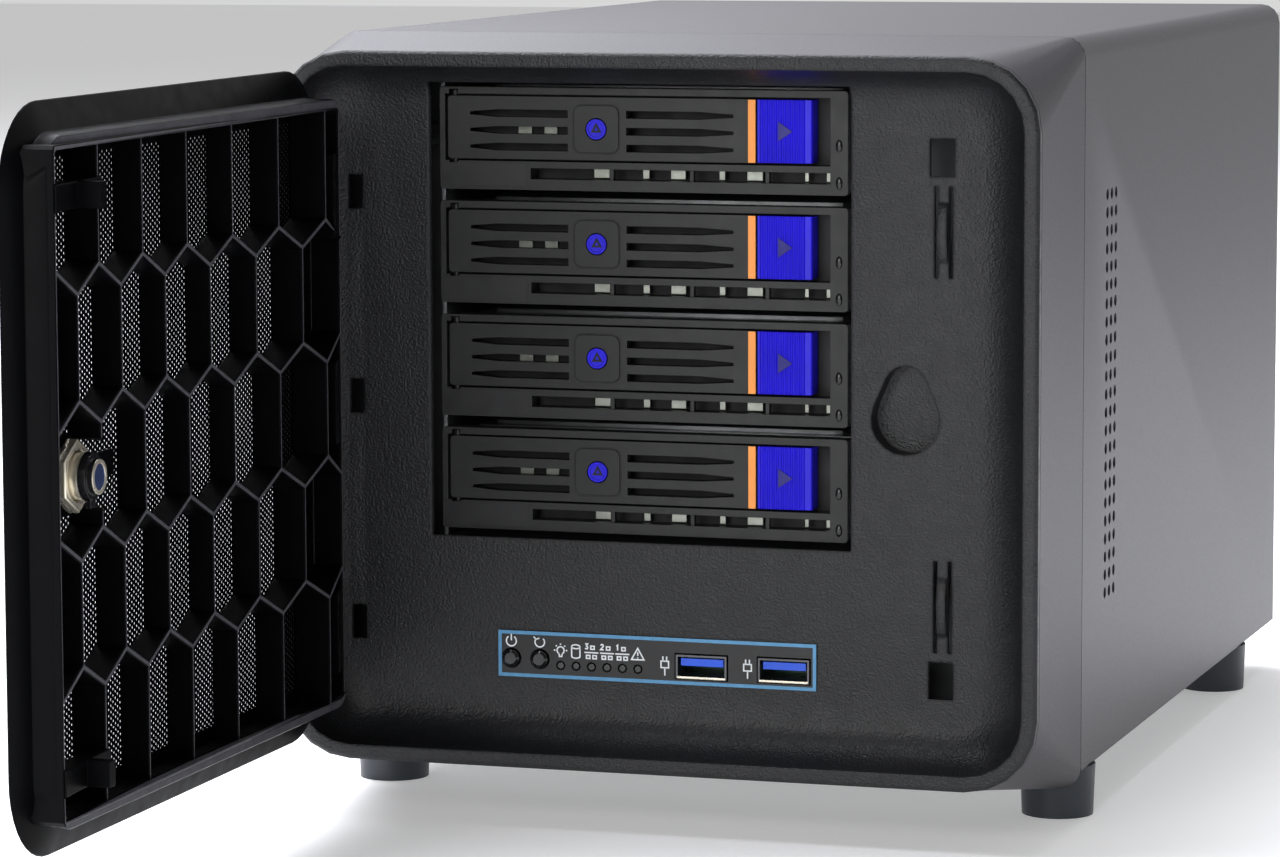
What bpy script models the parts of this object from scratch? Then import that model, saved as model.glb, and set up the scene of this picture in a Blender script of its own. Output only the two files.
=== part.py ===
"""Four-bay network attached storage box with a hinged honeycomb front door.

Frame: +Z up, -Y towards the front, +X to the right seen from the front.
The origin is the centre of the base plate's underside; the feet reach below it.
"""

from math import cos, pi, radians, sin

import bmesh
import bpy
from mathutils import Matrix, Vector

MM = 0.001
GAP = 0.3 * MM

# Case
CASE_WIDTH = 200 * MM
CASE_TOP = 186.4 * MM
COVER_LENGTH = 263 * MM
COVER_CORNER = 5.5 * MM
SHEET = 1.0 * MM
HALF_WIDTH = CASE_WIDTH / 2
REAR_Y = COVER_LENGTH / 2
SEAM_Y = -COVER_LENGTH / 2
BASE_THICKNESS = 1.2 * MM

# Front: painted ring, black bezel with a recess, flat panel at PANEL_Y
PANEL_Y = SEAM_Y - 31.7 * MM
RECESS_DEPTH = 15 * MM
RIM_Y = PANEL_Y - RECESS_DEPTH
RIM_HALF_WIDTH = 99.4 * MM
RIM_BOTTOM = 1.9 * MM
RIM_TOP = 183.2 * MM
RIM_CORNER = 18.4 * MM
RIM_BAND = 3.8 * MM
RIM_SKIRT = 2.5 * MM
RING_BOTTOM = -4.7 * MM
RING_WALL = 1.5 * MM
BEZEL_WALL = 1.6 * MM
RECESS_SIDE_RUN = 13.6 * MM
RECESS_END_RUN = 9 * MM
RECESS_STEPS = 5

# Drive bays
BAY_COUNT = 4
BAY_PITCH = 29.1 * MM
TRAY_LEFT = -61.9 * MM
TRAY_WIDTH = 108 * MM
TRAY_HEIGHT = 26.1 * MM
TRAY_FRONT_Y = PANEL_Y + 4.2 * MM
TOP_TRAY_Z = 147.4 * MM
TRAY_RIGHT = TRAY_LEFT + TRAY_WIDTH
LOWEST_TRAY_Z = TOP_TRAY_Z - (BAY_COUNT - 1) * BAY_PITCH
DRIVE_SIZE = (101.6 * MM, 147 * MM, 25.4 * MM)
DRIVE_SETBACK = 18 * MM

# Door, modelled closed and then swung open about its pivot
DOOR_OPEN_ANGLE = radians(90)
DOOR_HALF_WIDTH = 94.4 * MM
DOOR_BOTTOM = 7.9 * MM
DOOR_TOP = 178.5 * MM
DOOR_CORNER = 20 * MM
DOOR_FRONT_Y = RIM_Y - 0.2 * MM
DOOR_FLANGE = 3.9 * MM
DOOR_DEPTH = 9.1 * MM
DOOR_PIVOT = Vector((-90.45 * MM, PANEL_Y - 12.95 * MM, 0))
DOOR_MESH_SETBACK = 1.1 * MM
BLOCK_LEFT = -92.2 * MM
BLOCK_RIGHT = 86.8 * MM
BLOCK_BORDER = 1.1 * MM
CELL_COLUMNS = 6.5
CELL_ROWS = 5
CELL_ROW_PITCH = 30 * MM
CELL_POINT = 6 * MM
RIB = 1.1 * MM
HINGE_HEIGHTS = (35.3 * MM, 94 * MM, 146.6 * MM)
KNUCKLE_LENGTH = 7.4 * MM
KNUCKLE_RADIUS = 1.9 * MM
LUG_LENGTH = 4 * MM
LUG_RADIUS = 1.8 * MM
PIN_RADIUS = 0.85 * MM

# Latch and lock, as heights and places across the closed door
LATCH_X = 71.4 * MM
LATCH_HEIGHTS = (26.9 * MM, 157.6 * MM)
TONGUE_SPANS = ((34.0 * MM, 57.1 * MM), (127.8 * MM, 150.5 * MM))
TONGUE_SLOT_WIDTH = 1.0 * MM
TONGUE_SLOT_LEFT = 2.0 * MM
TONGUE_SLOT_RIGHT = 1.7 * MM
BUMP_HEIGHTS = (45.5 * MM, 139 * MM)
BUMP_LENGTH = 15 * MM
BUMP_WIDTH = 2.3 * MM
BUMP_RISE = 1.8 * MM
LOCK_X = 63.5 * MM
LOCK_Z = 93.2 * MM
LOCK_BOSS_RADIUS = 9.6 * MM
LOCK_BOSS_THICKNESS = 1.2 * MM
LOCK_CLEARANCE_RADIUS = 9.3 * MM
LOCK_REACH = 7.8 * MM
POCKET_X = 62.0 * MM
POCKET_Z = 92.1 * MM
POCKET_RADIUS = 8.8 * MM
POCKET_TIP_RADIUS = 5.6 * MM
POCKET_TIP_RISE = 8.0 * MM
POCKET_DEPTH = 6 * MM
POCKET_WALL = 1.4 * MM

# Control strip
STRIP_LEFT = -45.3 * MM
STRIP_RIGHT = 39.3 * MM
STRIP_BOTTOM = 22.9 * MM
STRIP_TOP = 34.8 * MM
BUTTON_CENTRES = ((-41.8 * MM, 27.7 * MM), (-34.1 * MM, 27.7 * MM))
BUTTON_RADIUS = 2.2 * MM
LIGHT_Z = 26.3 * MM
LIGHT_START_X = -28.5 * MM
LIGHT_PITCH = 4.14 * MM
LIGHT_COUNT = 6
USB_CENTRES = ((9.1 * MM, 27.6 * MM), (30.8 * MM, 27.7 * MM))
USB_SIZE = (13.4 * MM, 12 * MM, 6.0 * MM)

# Feet and rear
FOOT_RADIUS = 9.7 * MM
FOOT_HEIGHT = 13.2 * MM
FOOT_X = 91.1 * MM
FOOT_YS = (-118.6 * MM, 83.3 * MM)
FAN_SIZE = 120 * MM
FAN_DEPTH = 25 * MM
FAN_CENTRE = Vector((-36 * MM, 0, 121 * MM))
IO_CENTRE_X = 4 * MM
IO_WIDTH = 158.8 * MM
IO_BOTTOM = 8 * MM
IO_HEIGHT = 44.5 * MM
IO_WINDOWS = (
    (-54 * MM, 17.5 * MM, 14 * MM, 14 * MM),
    (-32 * MM, 17.5 * MM, 14 * MM, 14 * MM),
    (-2 * MM, 24 * MM, 32 * MM, 28 * MM),
    (28 * MM, 17.5 * MM, 14 * MM, 14 * MM),
    (52 * MM, 15 * MM, 24 * MM, 9 * MM),
)
SUPPLY_CENTRE = Vector((73.5 * MM, 0, 105 * MM))
SUPPLY_SIZE = (40.5 * MM, 148 * MM, 81.5 * MM)
THUMB_SCREW_SPOTS = ((93.2 * MM, 22.5 * MM), (93.2 * MM, 163 * MM))

COLLECTION_NAME = "network_attached_storage"


def clear_scene():
    for obj in list(bpy.data.objects):
        bpy.data.objects.remove(obj, do_unlink=True)


def make_collection():
    collection = bpy.data.collections.new(COLLECTION_NAME)
    bpy.context.scene.collection.children.link(collection)
    return collection


clear_scene()
PARTS = make_collection()


def material(name, colour, roughness, metallic=0.0):
    mat = bpy.data.materials.new(name)
    mat.use_nodes = True
    shader = mat.node_tree.nodes["Principled BSDF"]
    shader.inputs["Base Color"].default_value = (*colour, 1.0)
    shader.inputs["Roughness"].default_value = roughness
    shader.inputs["Metallic"].default_value = metallic
    return mat


PAINT = material("grey_violet_paint", (0.115, 0.105, 0.13), 0.45, 0.3)
BLACK_PLASTIC = material("black_textured_plastic", (0.03, 0.032, 0.034), 0.55)
TRAY_PLASTIC = material("tray_black_plastic", (0.02, 0.02, 0.022), 0.45)
BLUE_PLASTIC = material("release_blue_plastic", (0.02, 0.01, 0.5), 0.4)
USB_BLUE = material("connector_blue_plastic", (0.01, 0.12, 0.6), 0.4)
GLOSS_BLACK = material("gloss_black_plastic", (0.01, 0.01, 0.012), 0.12)
RUBBER = material("slate_rubber", (0.04, 0.045, 0.055), 0.6)
STEEL = material("galvanised_steel", (0.55, 0.56, 0.57), 0.35, 1.0)
NICKEL = material("nickel_plate", (0.75, 0.7, 0.6), 0.2, 1.0)
MESH_STEEL = material("black_perforated_steel", (0.02, 0.02, 0.02), 0.5, 0.6)
BOARD = material("green_circuit_board", (0.01, 0.12, 0.05), 0.5)
LABEL = material("control_label", (0.02, 0.025, 0.03), 0.4)
CLEAR = material("light_guide_plastic", (0.4, 0.42, 0.42), 0.2)
DRIVE_METAL = material("drive_aluminium", (0.5, 0.51, 0.53), 0.35, 1.0)


# ---------------------------------------------------------------- helpers


def add_object(name, mesh):
    obj = bpy.data.objects.new(name, mesh)
    PARTS.objects.link(obj)
    return obj


def object_from_bmesh(name, bm):
    bmesh.ops.recalc_face_normals(bm, faces=bm.faces)
    mesh = bpy.data.meshes.new(name)
    bm.to_mesh(mesh)
    bm.free()
    return add_object(name, mesh)


def box(name, x, y, z, bevel=0.0, bevel_axis=None, segments=3):
    """A box between the limits x, y and z; bevel_axis picks the edges that are rounded."""
    low = Vector((x[0], y[0], z[0]))
    high = Vector((x[1], y[1], z[1]))
    bm = bmesh.new()
    bmesh.ops.create_cube(bm, size=1.0)
    size = high - low
    placing = Matrix.Translation((low + high) / 2) @ Matrix.Diagonal((*size, 1.0))
    bmesh.ops.transform(bm, matrix=placing, verts=bm.verts)
    if bevel > 0:
        edges = [e for e in bm.edges if bevel_axis is None or runs_along(e, bevel_axis)]
        bmesh.ops.bevel(bm, geom=edges, offset=bevel, segments=segments, affect="EDGES", profile=0.5)
    return object_from_bmesh(name, bm)


def runs_along(edge, axis):
    direction = (edge.verts[1].co - edge.verts[0].co).normalized()
    return abs(direction[axis]) > 0.99


def cylinder(name, centre, radius, length, axis="Z", segments=16, end_radius=None):
    """A closed cylinder or cone along an axis; end_radius is at the axis's positive end."""
    bm = bmesh.new()
    bmesh.ops.create_cone(
        bm,
        cap_ends=True,
        segments=segments,
        radius1=radius,
        radius2=radius if end_radius is None else end_radius,
        depth=length,
    )
    turns = {"X": Matrix.Rotation(pi / 2, 4, "Y"), "Y": Matrix.Rotation(-pi / 2, 4, "X"), "Z": Matrix()}
    bmesh.ops.transform(bm, matrix=Matrix.Translation(centre) @ turns[axis], verts=bm.verts)
    return object_from_bmesh(name, bm)


def plate(name, outlines, y_front, thickness):
    """Flat outlines in X and Z, the first with the rest as holes, made thick from y_front backwards."""
    curve = bpy.data.curves.new(name, "CURVE")
    curve.dimensions = "2D"
    curve.fill_mode = "BOTH"
    curve.extrude = thickness / 2
    for outline in outlines:
        spline = curve.splines.new("POLY")
        spline.points.add(len(outline) - 1)
        spline.use_cyclic_u = True
        for point, (x, z) in zip(spline.points, outline):
            point.co = (x, z, 0, 1)
    guide = bpy.data.objects.new(name, curve)
    PARTS.objects.link(guide)
    upright = Matrix.Rotation(pi / 2, 4, "X")
    guide.matrix_world = Matrix.Translation((0, y_front + thickness / 2, 0)) @ upright
    bpy.context.view_layer.update()
    placing = guide.matrix_world.copy()
    mesh = bpy.data.meshes.new_from_object(guide.evaluated_get(bpy.context.evaluated_depsgraph_get()))
    bpy.data.objects.remove(guide, do_unlink=True)
    bpy.data.curves.remove(curve)
    bm = bmesh.new()
    bm.from_mesh(mesh)
    bpy.data.meshes.remove(mesh)
    bmesh.ops.remove_doubles(bm, verts=bm.verts, dist=1e-6)
    bmesh.ops.transform(bm, matrix=placing, verts=bm.verts)
    return object_from_bmesh(name, bm)


def rectangle(x, z):
    return [(x[0], z[0]), (x[1], z[0]), (x[1], z[1]), (x[0], z[1])]


def rounded_rectangle(x, z, radius, steps=5):
    corners = (
        (x[1] - radius, z[0] + radius, -pi / 2),
        (x[1] - radius, z[1] - radius, 0),
        (x[0] + radius, z[1] - radius, pi / 2),
        (x[0] + radius, z[0] + radius, pi),
    )
    points = []
    for cx, cz, start in corners:
        for step in range(steps + 1):
            angle = start + pi / 2 * step / steps
            points.append((cx + radius * cos(angle), cz + radius * sin(angle)))
    return points


def arc(cx, cz, radius, start, end, steps):
    points = []
    for i in range(steps + 1):
        angle = start + (end - start) * i / steps
        points.append((cx + radius * cos(angle), cz + radius * sin(angle)))
    return points


def circle(cx, cz, radius, steps=16):
    return arc(cx, cz, radius, 0, 2 * pi, steps)[:-1]


def egg(grow=0.0):
    """The lock pocket: a large circle and a smaller one above it, joined by straight flanks."""
    big = POCKET_RADIUS + grow
    small = POCKET_TIP_RADIUS + grow
    lean = (big - small) / POCKET_TIP_RISE
    lower = arc(POCKET_X, POCKET_Z, big, pi - lean, 2 * pi + lean, 12)
    upper = arc(POCKET_X, POCKET_Z + POCKET_TIP_RISE, small, lean, pi - lean, 6)
    return lower + upper


def loft(name, sections, cap_start=False, cap_end=False):
    """Joins sections of equal point counts, given as (y, outline) from front to back."""
    bm = bmesh.new()
    loops = [[bm.verts.new((x, y, z)) for x, z in outline] for y, outline in sections]
    count = len(loops[0])
    for near, far in zip(loops, loops[1:]):
        for i in range(count):
            j = (i + 1) % count
            bm.faces.new((near[i], near[j], far[j], far[i]))
    if cap_start:
        bm.faces.new(loops[0])
    if cap_end:
        bm.faces.new(loops[-1])
    return object_from_bmesh(name, bm)


def apply_modifier(obj, modifier):
    bpy.context.view_layer.objects.active = obj
    bpy.ops.object.modifier_apply(modifier=modifier.name)


def solidify(obj, thickness, offset):
    modifier = obj.modifiers.new("thickness", "SOLIDIFY")
    modifier.thickness = thickness
    modifier.offset = offset
    modifier.use_even_offset = True
    apply_modifier(obj, modifier)


def combine(obj, others, operation):
    """Cuts the other objects from obj, or joins them to it, and removes them."""
    for other in others:
        modifier = obj.modifiers.new("combine", "BOOLEAN")
        modifier.operation = operation
        modifier.solver = "EXACT"
        modifier.object = other
        apply_modifier(obj, modifier)
        bpy.data.objects.remove(other, do_unlink=True)


def cut(obj, *tools):
    combine(obj, tools, "DIFFERENCE")


def join(obj, *pieces):
    combine(obj, pieces, "UNION")


def finish(obj, mat, smooth=False):
    obj.data.materials.clear()
    obj.data.materials.append(mat)
    if smooth:
        obj.data.shade_smooth()
        obj.data.set_sharp_from_angle(angle=radians(35))
    return obj


def set_origin(obj, point):
    point = Vector(point)
    obj.data.transform(Matrix.Translation(-point))
    obj.location = point
    return obj


def make_pivot(name, location):
    pivot = bpy.data.objects.new(name, None)
    pivot.location = location
    PARTS.objects.link(pivot)
    bpy.context.view_layer.update()
    return pivot


def attach(obj, pivot):
    """Parents an object that was modelled in place, so that it follows the pivot."""
    obj.parent = pivot
    obj.location = obj.location - pivot.location


# ---------------------------------------------------------------- case


def base_plate():
    inset = SHEET + GAP
    half = HALF_WIDTH - inset
    plate_box = box("base_plate", (-half, half), (SEAM_Y + GAP, REAR_Y - GAP), (0, BASE_THICKNESS))
    finish(plate_box, PAINT)


def outer_cover():
    """One sheet bent over the top and both sides, drawn as its section and drawn out along Y."""
    inner_corner = COVER_CORNER - SHEET
    outer_half = HALF_WIDTH
    inner_half = HALF_WIDTH - SHEET
    centre_x = HALF_WIDTH - COVER_CORNER
    centre_z = CASE_TOP - COVER_CORNER
    outer = [(outer_half, 0)]
    outer += arc(centre_x, centre_z, COVER_CORNER, 0, pi / 2, 4)
    outer += arc(-centre_x, centre_z, COVER_CORNER, pi / 2, pi, 4)
    outer += [(-outer_half, 0)]
    inner = [(-inner_half, 0)]
    inner += arc(-centre_x, centre_z, inner_corner, pi, pi / 2, 4)
    inner += arc(centre_x, centre_z, inner_corner, pi / 2, 0, 4)
    inner += [(inner_half, 0)]
    sheet = plate("outer_cover", [outer + inner], SEAM_Y + GAP, COVER_LENGTH - GAP)
    finish(sheet, PAINT, smooth=True)


def front_sheet():
    """Steel sheet behind the bezel that the drive cage and the bezel's bosses meet."""
    half = HALF_WIDTH - 2.5 * MM
    window = rectangle((TRAY_LEFT - 4 * MM, TRAY_RIGHT + 4 * MM), (52 * MM, 179 * MM))
    lower_window = rectangle((-50 * MM, 44 * MM), (14 * MM, 44 * MM))
    outline = rounded_rectangle((-half, half), (2 * MM, 183 * MM), 10 * MM, 3)
    sheet = plate("front_sheet", [outline, window, lower_window], SEAM_Y - 2.7 * MM, SHEET)
    finish(sheet, STEEL)


def rear_panel():
    half = HALF_WIDTH - SHEET - GAP
    height = (BASE_THICKNESS + GAP, CASE_TOP - SHEET - GAP)
    outline = rounded_rectangle((-half, half), height, COVER_CORNER, 3)
    io_opening = rectangle(
        (IO_CENTRE_X - IO_WIDTH / 2, IO_CENTRE_X + IO_WIDTH / 2),
        (IO_BOTTOM, IO_BOTTOM + IO_HEIGHT),
    )
    fan_opening = circle(FAN_CENTRE.x, FAN_CENTRE.z, 56 * MM, 32)
    supply_opening = rectangle(
        (SUPPLY_CENTRE.x - 16 * MM, SUPPLY_CENTRE.x + 16 * MM),
        (SUPPLY_CENTRE.z - 37 * MM, SUPPLY_CENTRE.z + 37 * MM),
    )
    openings = [io_opening, fan_opening, supply_opening]
    panel = plate("rear_panel", [outline, *openings], REAR_Y - 1.4 * MM, SHEET)
    finish(panel, STEEL)


def io_shield():
    """Thin plate that fills the rear opening, with a window for each socket."""
    half = IO_WIDTH / 2 - GAP
    outline = rectangle(
        (IO_CENTRE_X - half, IO_CENTRE_X + half),
        (IO_BOTTOM + GAP, IO_BOTTOM + IO_HEIGHT - GAP),
    )
    windows = []
    for x, z, width, height in IO_WINDOWS:
        windows.append(rectangle((x - width / 2, x + width / 2), (z - height / 2, z + height / 2)))
    shield = plate("io_shield", [outline, *windows], REAR_Y - 1.3 * MM, 0.6 * MM)
    finish(shield, NICKEL)


def feet():
    for side, x in (("left", -FOOT_X), ("right", FOOT_X)):
        for end, y in zip(("front", "rear"), FOOT_YS):
            centre = Vector((x, y, -GAP - FOOT_HEIGHT / 2))
            foot = cylinder(
                f"foot_{end}_{side}", centre, FOOT_RADIUS - 0.5 * MM, FOOT_HEIGHT, "Z", 24, FOOT_RADIUS
            )
            finish(foot, RUBBER, smooth=True)


def thumb_screws():
    for level, (x, z) in zip(("lower", "upper"), THUMB_SCREW_SPOTS):
        for side, sign in (("left", -1), ("right", 1)):
            centre = Vector((sign * x, REAR_Y + 3.4 * MM, z))
            head = cylinder(f"thumb_screw_{level}_{side}", centre, 4.6 * MM, 6 * MM, "Y", 16)
            finish(head, STEEL, smooth=True)


# ---------------------------------------------------------------- front ring and bezel


def rim_outline(inset, corner=None):
    radius = RIM_CORNER - inset if corner is None else corner
    half = RIM_HALF_WIDTH - inset
    return rounded_rectangle((-half, half), (RIM_BOTTOM + inset, RIM_TOP - inset), radius)


def bezel_ring():
    """Painted ring whose front has large corners and whose back matches the cover."""
    front = rounded_rectangle((-RIM_HALF_WIDTH, RIM_HALF_WIDTH), (RIM_BOTTOM, RIM_TOP), RIM_CORNER)
    back = rounded_rectangle((-HALF_WIDTH, HALF_WIDTH), (RING_BOTTOM, CASE_TOP), COVER_CORNER)
    ring = loft("bezel_ring", [(RIM_Y + RIM_SKIRT + GAP, front), (SEAM_Y, back)])
    solidify(ring, RING_WALL, -1)
    finish(ring, PAINT, smooth=True)


def recess_outline(step):
    """The recess curves like a quarter ellipse from the rim to the flat panel."""
    angle = pi / 2 * step / RECESS_STEPS
    side = RECESS_SIDE_RUN * (1 - cos(angle))
    end = RECESS_END_RUN * (1 - cos(angle))
    half = RIM_HALF_WIDTH - RIM_BAND - side
    low = RIM_BOTTOM + RIM_BAND + end
    high = RIM_TOP - RIM_BAND - end
    corner = RIM_CORNER - RIM_BAND - end * 0.6
    return RIM_Y + RECESS_DEPTH * sin(angle), rounded_rectangle((-half, half), (low, high), corner)


def bezel_shell():
    sections = [(RIM_Y + RIM_SKIRT, rim_outline(0)), (RIM_Y + 0.6 * MM, rim_outline(0))]
    sections.append((RIM_Y, rim_outline(0.8 * MM)))
    sections.append((RIM_Y, rim_outline(RIM_BAND - 0.8 * MM)))
    sections += [recess_outline(step) for step in range(RECESS_STEPS + 1)]
    shell = loft("front_bezel", sections, cap_end=True)
    solidify(shell, BEZEL_WALL, -1)
    return shell


def panel_openings():
    front = PANEL_Y - 3 * MM
    depth = 8 * MM
    openings = [
        rectangle(
            (TRAY_LEFT - 1.4 * MM, TRAY_RIGHT + 2.0 * MM),
            (LOWEST_TRAY_Z - 1.5 * MM, TOP_TRAY_Z + TRAY_HEIGHT + 1.4 * MM),
        )
    ]
    for z in LATCH_HEIGHTS:
        openings.append(rectangle((LATCH_X - 3.2 * MM, LATCH_X + 3.2 * MM), (z - 4.7 * MM, z + 4.7 * MM)))
    for x, z in BUTTON_CENTRES:
        openings.append(circle(x, z, BUTTON_RADIUS + 0.35 * MM, 12))
    for index in range(LIGHT_COUNT):
        openings.append(circle(LIGHT_START_X + index * LIGHT_PITCH, LIGHT_Z, 1.2 * MM, 8))
    for x, z in USB_CENTRES:
        half_width = USB_SIZE[0] / 2 + 0.35 * MM
        half_height = USB_SIZE[2] / 2 + 0.35 * MM
        openings.append(rectangle((x - half_width, x + half_width), (z - half_height, z + half_height)))
    openings += tongue_slots()
    return [plate(f"opening_{i}", [o], front, depth) for i, o in enumerate(openings)]


def tongue_slots():
    """Pairs of narrow slots that free a springy tongue next to each latch socket."""
    slots = []
    for low, high in TONGUE_SPANS:
        for x in (LATCH_X - TONGUE_SLOT_LEFT, LATCH_X + TONGUE_SLOT_RIGHT):
            slots.append(rectangle((x, x + TONGUE_SLOT_WIDTH), (low, high)))
    return slots


def tongue_bumps():
    """A low, smooth arch on each springy tongue."""
    bumps = []
    for middle in BUMP_HEIGHTS:
        bump = cylinder("bump", Vector(), BUMP_RISE, BUMP_WIDTH, "X", 20)
        stretch = Matrix.Diagonal((1, 1, BUMP_LENGTH / (2 * BUMP_RISE), 1))
        centre = Vector((LATCH_X + 0.35 * MM, PANEL_Y, middle))
        bump.data.transform(Matrix.Translation(centre) @ stretch)
        bumps.append(bump)
    return bumps


def hinge_lugs():
    """Lugs on the recess's left wall with a moulded pin between each pair."""
    pieces = []
    arm = 1.2 * MM
    wall_x = -RIM_HALF_WIDTH + RIM_BAND
    for index, z in enumerate(HINGE_HEIGHTS):
        for sign in (-1, 1):
            middle = z + sign * (KNUCKLE_LENGTH / 2 + GAP + LUG_LENGTH / 2)
            span = (middle - LUG_LENGTH / 2, middle + LUG_LENGTH / 2)
            reach = (DOOR_PIVOT.y - arm, DOOR_PIVOT.y + arm)
            lug = box(f"lug_{index}_{sign}", (wall_x - 0.8 * MM, DOOR_PIVOT.x), reach, span)
            centre = Vector((DOOR_PIVOT.x, DOOR_PIVOT.y, middle))
            eye = cylinder("eye", centre, LUG_RADIUS, LUG_LENGTH, "Z", 12)
            join(lug, eye)
            pieces.append(lug)
        pin_length = KNUCKLE_LENGTH + LUG_LENGTH
        pin = cylinder("pin", Vector((DOOR_PIVOT.x, DOOR_PIVOT.y, z)), PIN_RADIUS, pin_length, "Z", 12)
        pieces.append(pin)
    return pieces


def hinge_wall_slots():
    """Dark slots in the curved left wall beside each hinge."""
    across = (-85.4 * MM, -81.6 * MM)
    through = (PANEL_Y - 6 * MM, PANEL_Y + 6 * MM)
    half = 4.4 * MM
    return [box("wall_slot", across, through, (z - half, z + half)) for z in HINGE_HEIGHTS]


def screw_bosses():
    """Bosses on the back of the panel that reach the front sheet."""
    back = SEAM_Y - 2.7 * MM - GAP
    front = PANEL_Y + 1.0 * MM
    bosses = []
    for x in (-72 * MM, 56 * MM):
        for z in (30 * MM, 160 * MM):
            centre = Vector((x, (front + back) / 2, z))
            bosses.append(cylinder("boss", centre, 3 * MM, back - front, "Y", 10))
    return bosses


def front_bezel():
    bezel = bezel_shell()
    overlap = 0.5 * MM
    cup_depth = POCKET_DEPTH + POCKET_WALL - overlap
    join(bezel, plate("lock_cup", [egg(POCKET_WALL)], PANEL_Y + overlap, cup_depth))
    lead = 3 * MM
    cut(bezel, plate("lock_hollow", [egg()], PANEL_Y - lead, POCKET_DEPTH + lead))
    join(bezel, *screw_bosses())
    cut(bezel, *panel_openings())
    cut(bezel, *hinge_wall_slots())
    join(bezel, *tongue_bumps())
    join(bezel, *hinge_lugs())
    finish(bezel, BLACK_PLASTIC, smooth=True)


# ---------------------------------------------------------------- control strip


def control_label():
    holes = [circle(x, z, BUTTON_RADIUS + 0.5 * MM, 12) for x, z in BUTTON_CENTRES]
    for index in range(LIGHT_COUNT):
        holes.append(circle(LIGHT_START_X + index * LIGHT_PITCH, LIGHT_Z, 1.3 * MM, 8))
    for x, z in USB_CENTRES:
        half_width = USB_SIZE[0] / 2 + 0.4 * MM
        half_height = USB_SIZE[2] / 2 + 0.4 * MM
        holes.append(rectangle((x - half_width, x + half_width), (z - half_height, z + half_height)))
    outline = rectangle((STRIP_LEFT, STRIP_RIGHT), (STRIP_BOTTOM, STRIP_TOP))
    label = plate("control_label", [outline, *holes], PANEL_Y - 0.6 * MM, 0.3 * MM)
    finish(label, LABEL)


def push_buttons():
    for name, (x, z) in zip(("power_button", "reset_button"), BUTTON_CENTRES):
        centre = Vector((x, PANEL_Y + 2.2 * MM, z))
        button = cylinder(name, centre, BUTTON_RADIUS, 6.4 * MM, "Y", 16)
        dome_centre = centre - Vector((0, 3.5 * MM, 0))
        dome = cylinder("dome", dome_centre, 1.5 * MM, 0.7 * MM, "Y", 16, BUTTON_RADIUS)
        join(button, dome)
        finish(button, GLOSS_BLACK, smooth=True)
        set_origin(button, centre)


def status_light_guide():
    """One moulding: a bar behind the panel with a finger for each light."""
    last_x = LIGHT_START_X + (LIGHT_COUNT - 1) * LIGHT_PITCH
    bar = box(
        "status_light_guide",
        (LIGHT_START_X - 1.5 * MM, last_x + 1.5 * MM),
        (PANEL_Y + 3.0 * MM, PANEL_Y + 5.0 * MM),
        (LIGHT_Z - 1.2 * MM, LIGHT_Z + 1.2 * MM),
    )
    fingers = []
    for index in range(LIGHT_COUNT):
        centre = Vector((LIGHT_START_X + index * LIGHT_PITCH, PANEL_Y + 1.7 * MM, LIGHT_Z))
        fingers.append(cylinder("finger", centre, 0.85 * MM, 4.4 * MM, "Y", 8))
    join(bar, *fingers)
    finish(bar, CLEAR, smooth=True)


def usb_ports():
    width, depth, height = USB_SIZE
    wall = 0.5 * MM
    front = PANEL_Y - 0.9 * MM
    for number, (x, z) in enumerate(USB_CENTRES, start=1):
        outer = rectangle((x - width / 2, x + width / 2), (z - height / 2, z + height / 2))
        inner = rectangle(
            (x - width / 2 + wall, x + width / 2 - wall),
            (z - height / 2 + wall, z + height / 2 - wall),
        )
        shell = plate(f"usb_shell_{number}", [outer, inner], front, depth)
        finish(shell, STEEL)
        tongue = box(
            f"usb_tongue_{number}",
            (x - 5.6 * MM, x + 5.6 * MM),
            (front + 1.0 * MM, front + depth - 0.5 * MM),
            (z + 0.1 * MM, z + 2.0 * MM),
        )
        finish(tongue, USB_BLUE)


def front_io_board():
    board = box(
        "front_io_board",
        (-47 * MM, 41 * MM),
        (PANEL_Y + 12.4 * MM, PANEL_Y + 14 * MM),
        (18 * MM, 40 * MM),
    )
    switches = []
    for x, z in BUTTON_CENTRES:
        switches.append(
            box(
                "switch",
                (x - 3 * MM, x + 3 * MM),
                (PANEL_Y + 7.5 * MM, PANEL_Y + 13 * MM),
                (z - 3 * MM, z + 3 * MM),
            )
        )
    join(board, *switches)
    finish(board, BOARD)


# ---------------------------------------------------------------- inside


CAGE_FRONT = PANEL_Y + 10 * MM
CAGE_BACK = TRAY_FRONT_Y + DRIVE_SETBACK + DRIVE_SIZE[1] + 6.5 * MM
CAGE_SIDE_GAP = 0.7 * MM
CAGE_BOTTOM = 56 * MM
CAGE_TOP = 177 * MM
LEDGE = 3 * MM
LEDGE_HEIGHT = 1.4 * MM
RAIL_RISE = 3 * MM


def cage_side(x_wall, inward, bottom, top):
    """Points up one inner side of the cage, with a ledge under each tray's rail."""
    points = [(x_wall, bottom)]
    for bay in reversed(range(BAY_COUNT)):
        ledge_top = TOP_TRAY_Z - bay * BAY_PITCH + RAIL_RISE - GAP
        ledge_low = ledge_top - LEDGE_HEIGHT
        points.append((x_wall, ledge_low))
        points.append((x_wall + inward * LEDGE, ledge_low))
        points.append((x_wall + inward * LEDGE, ledge_top))
        points.append((x_wall, ledge_top))
    points.append((x_wall, top))
    return points


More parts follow.
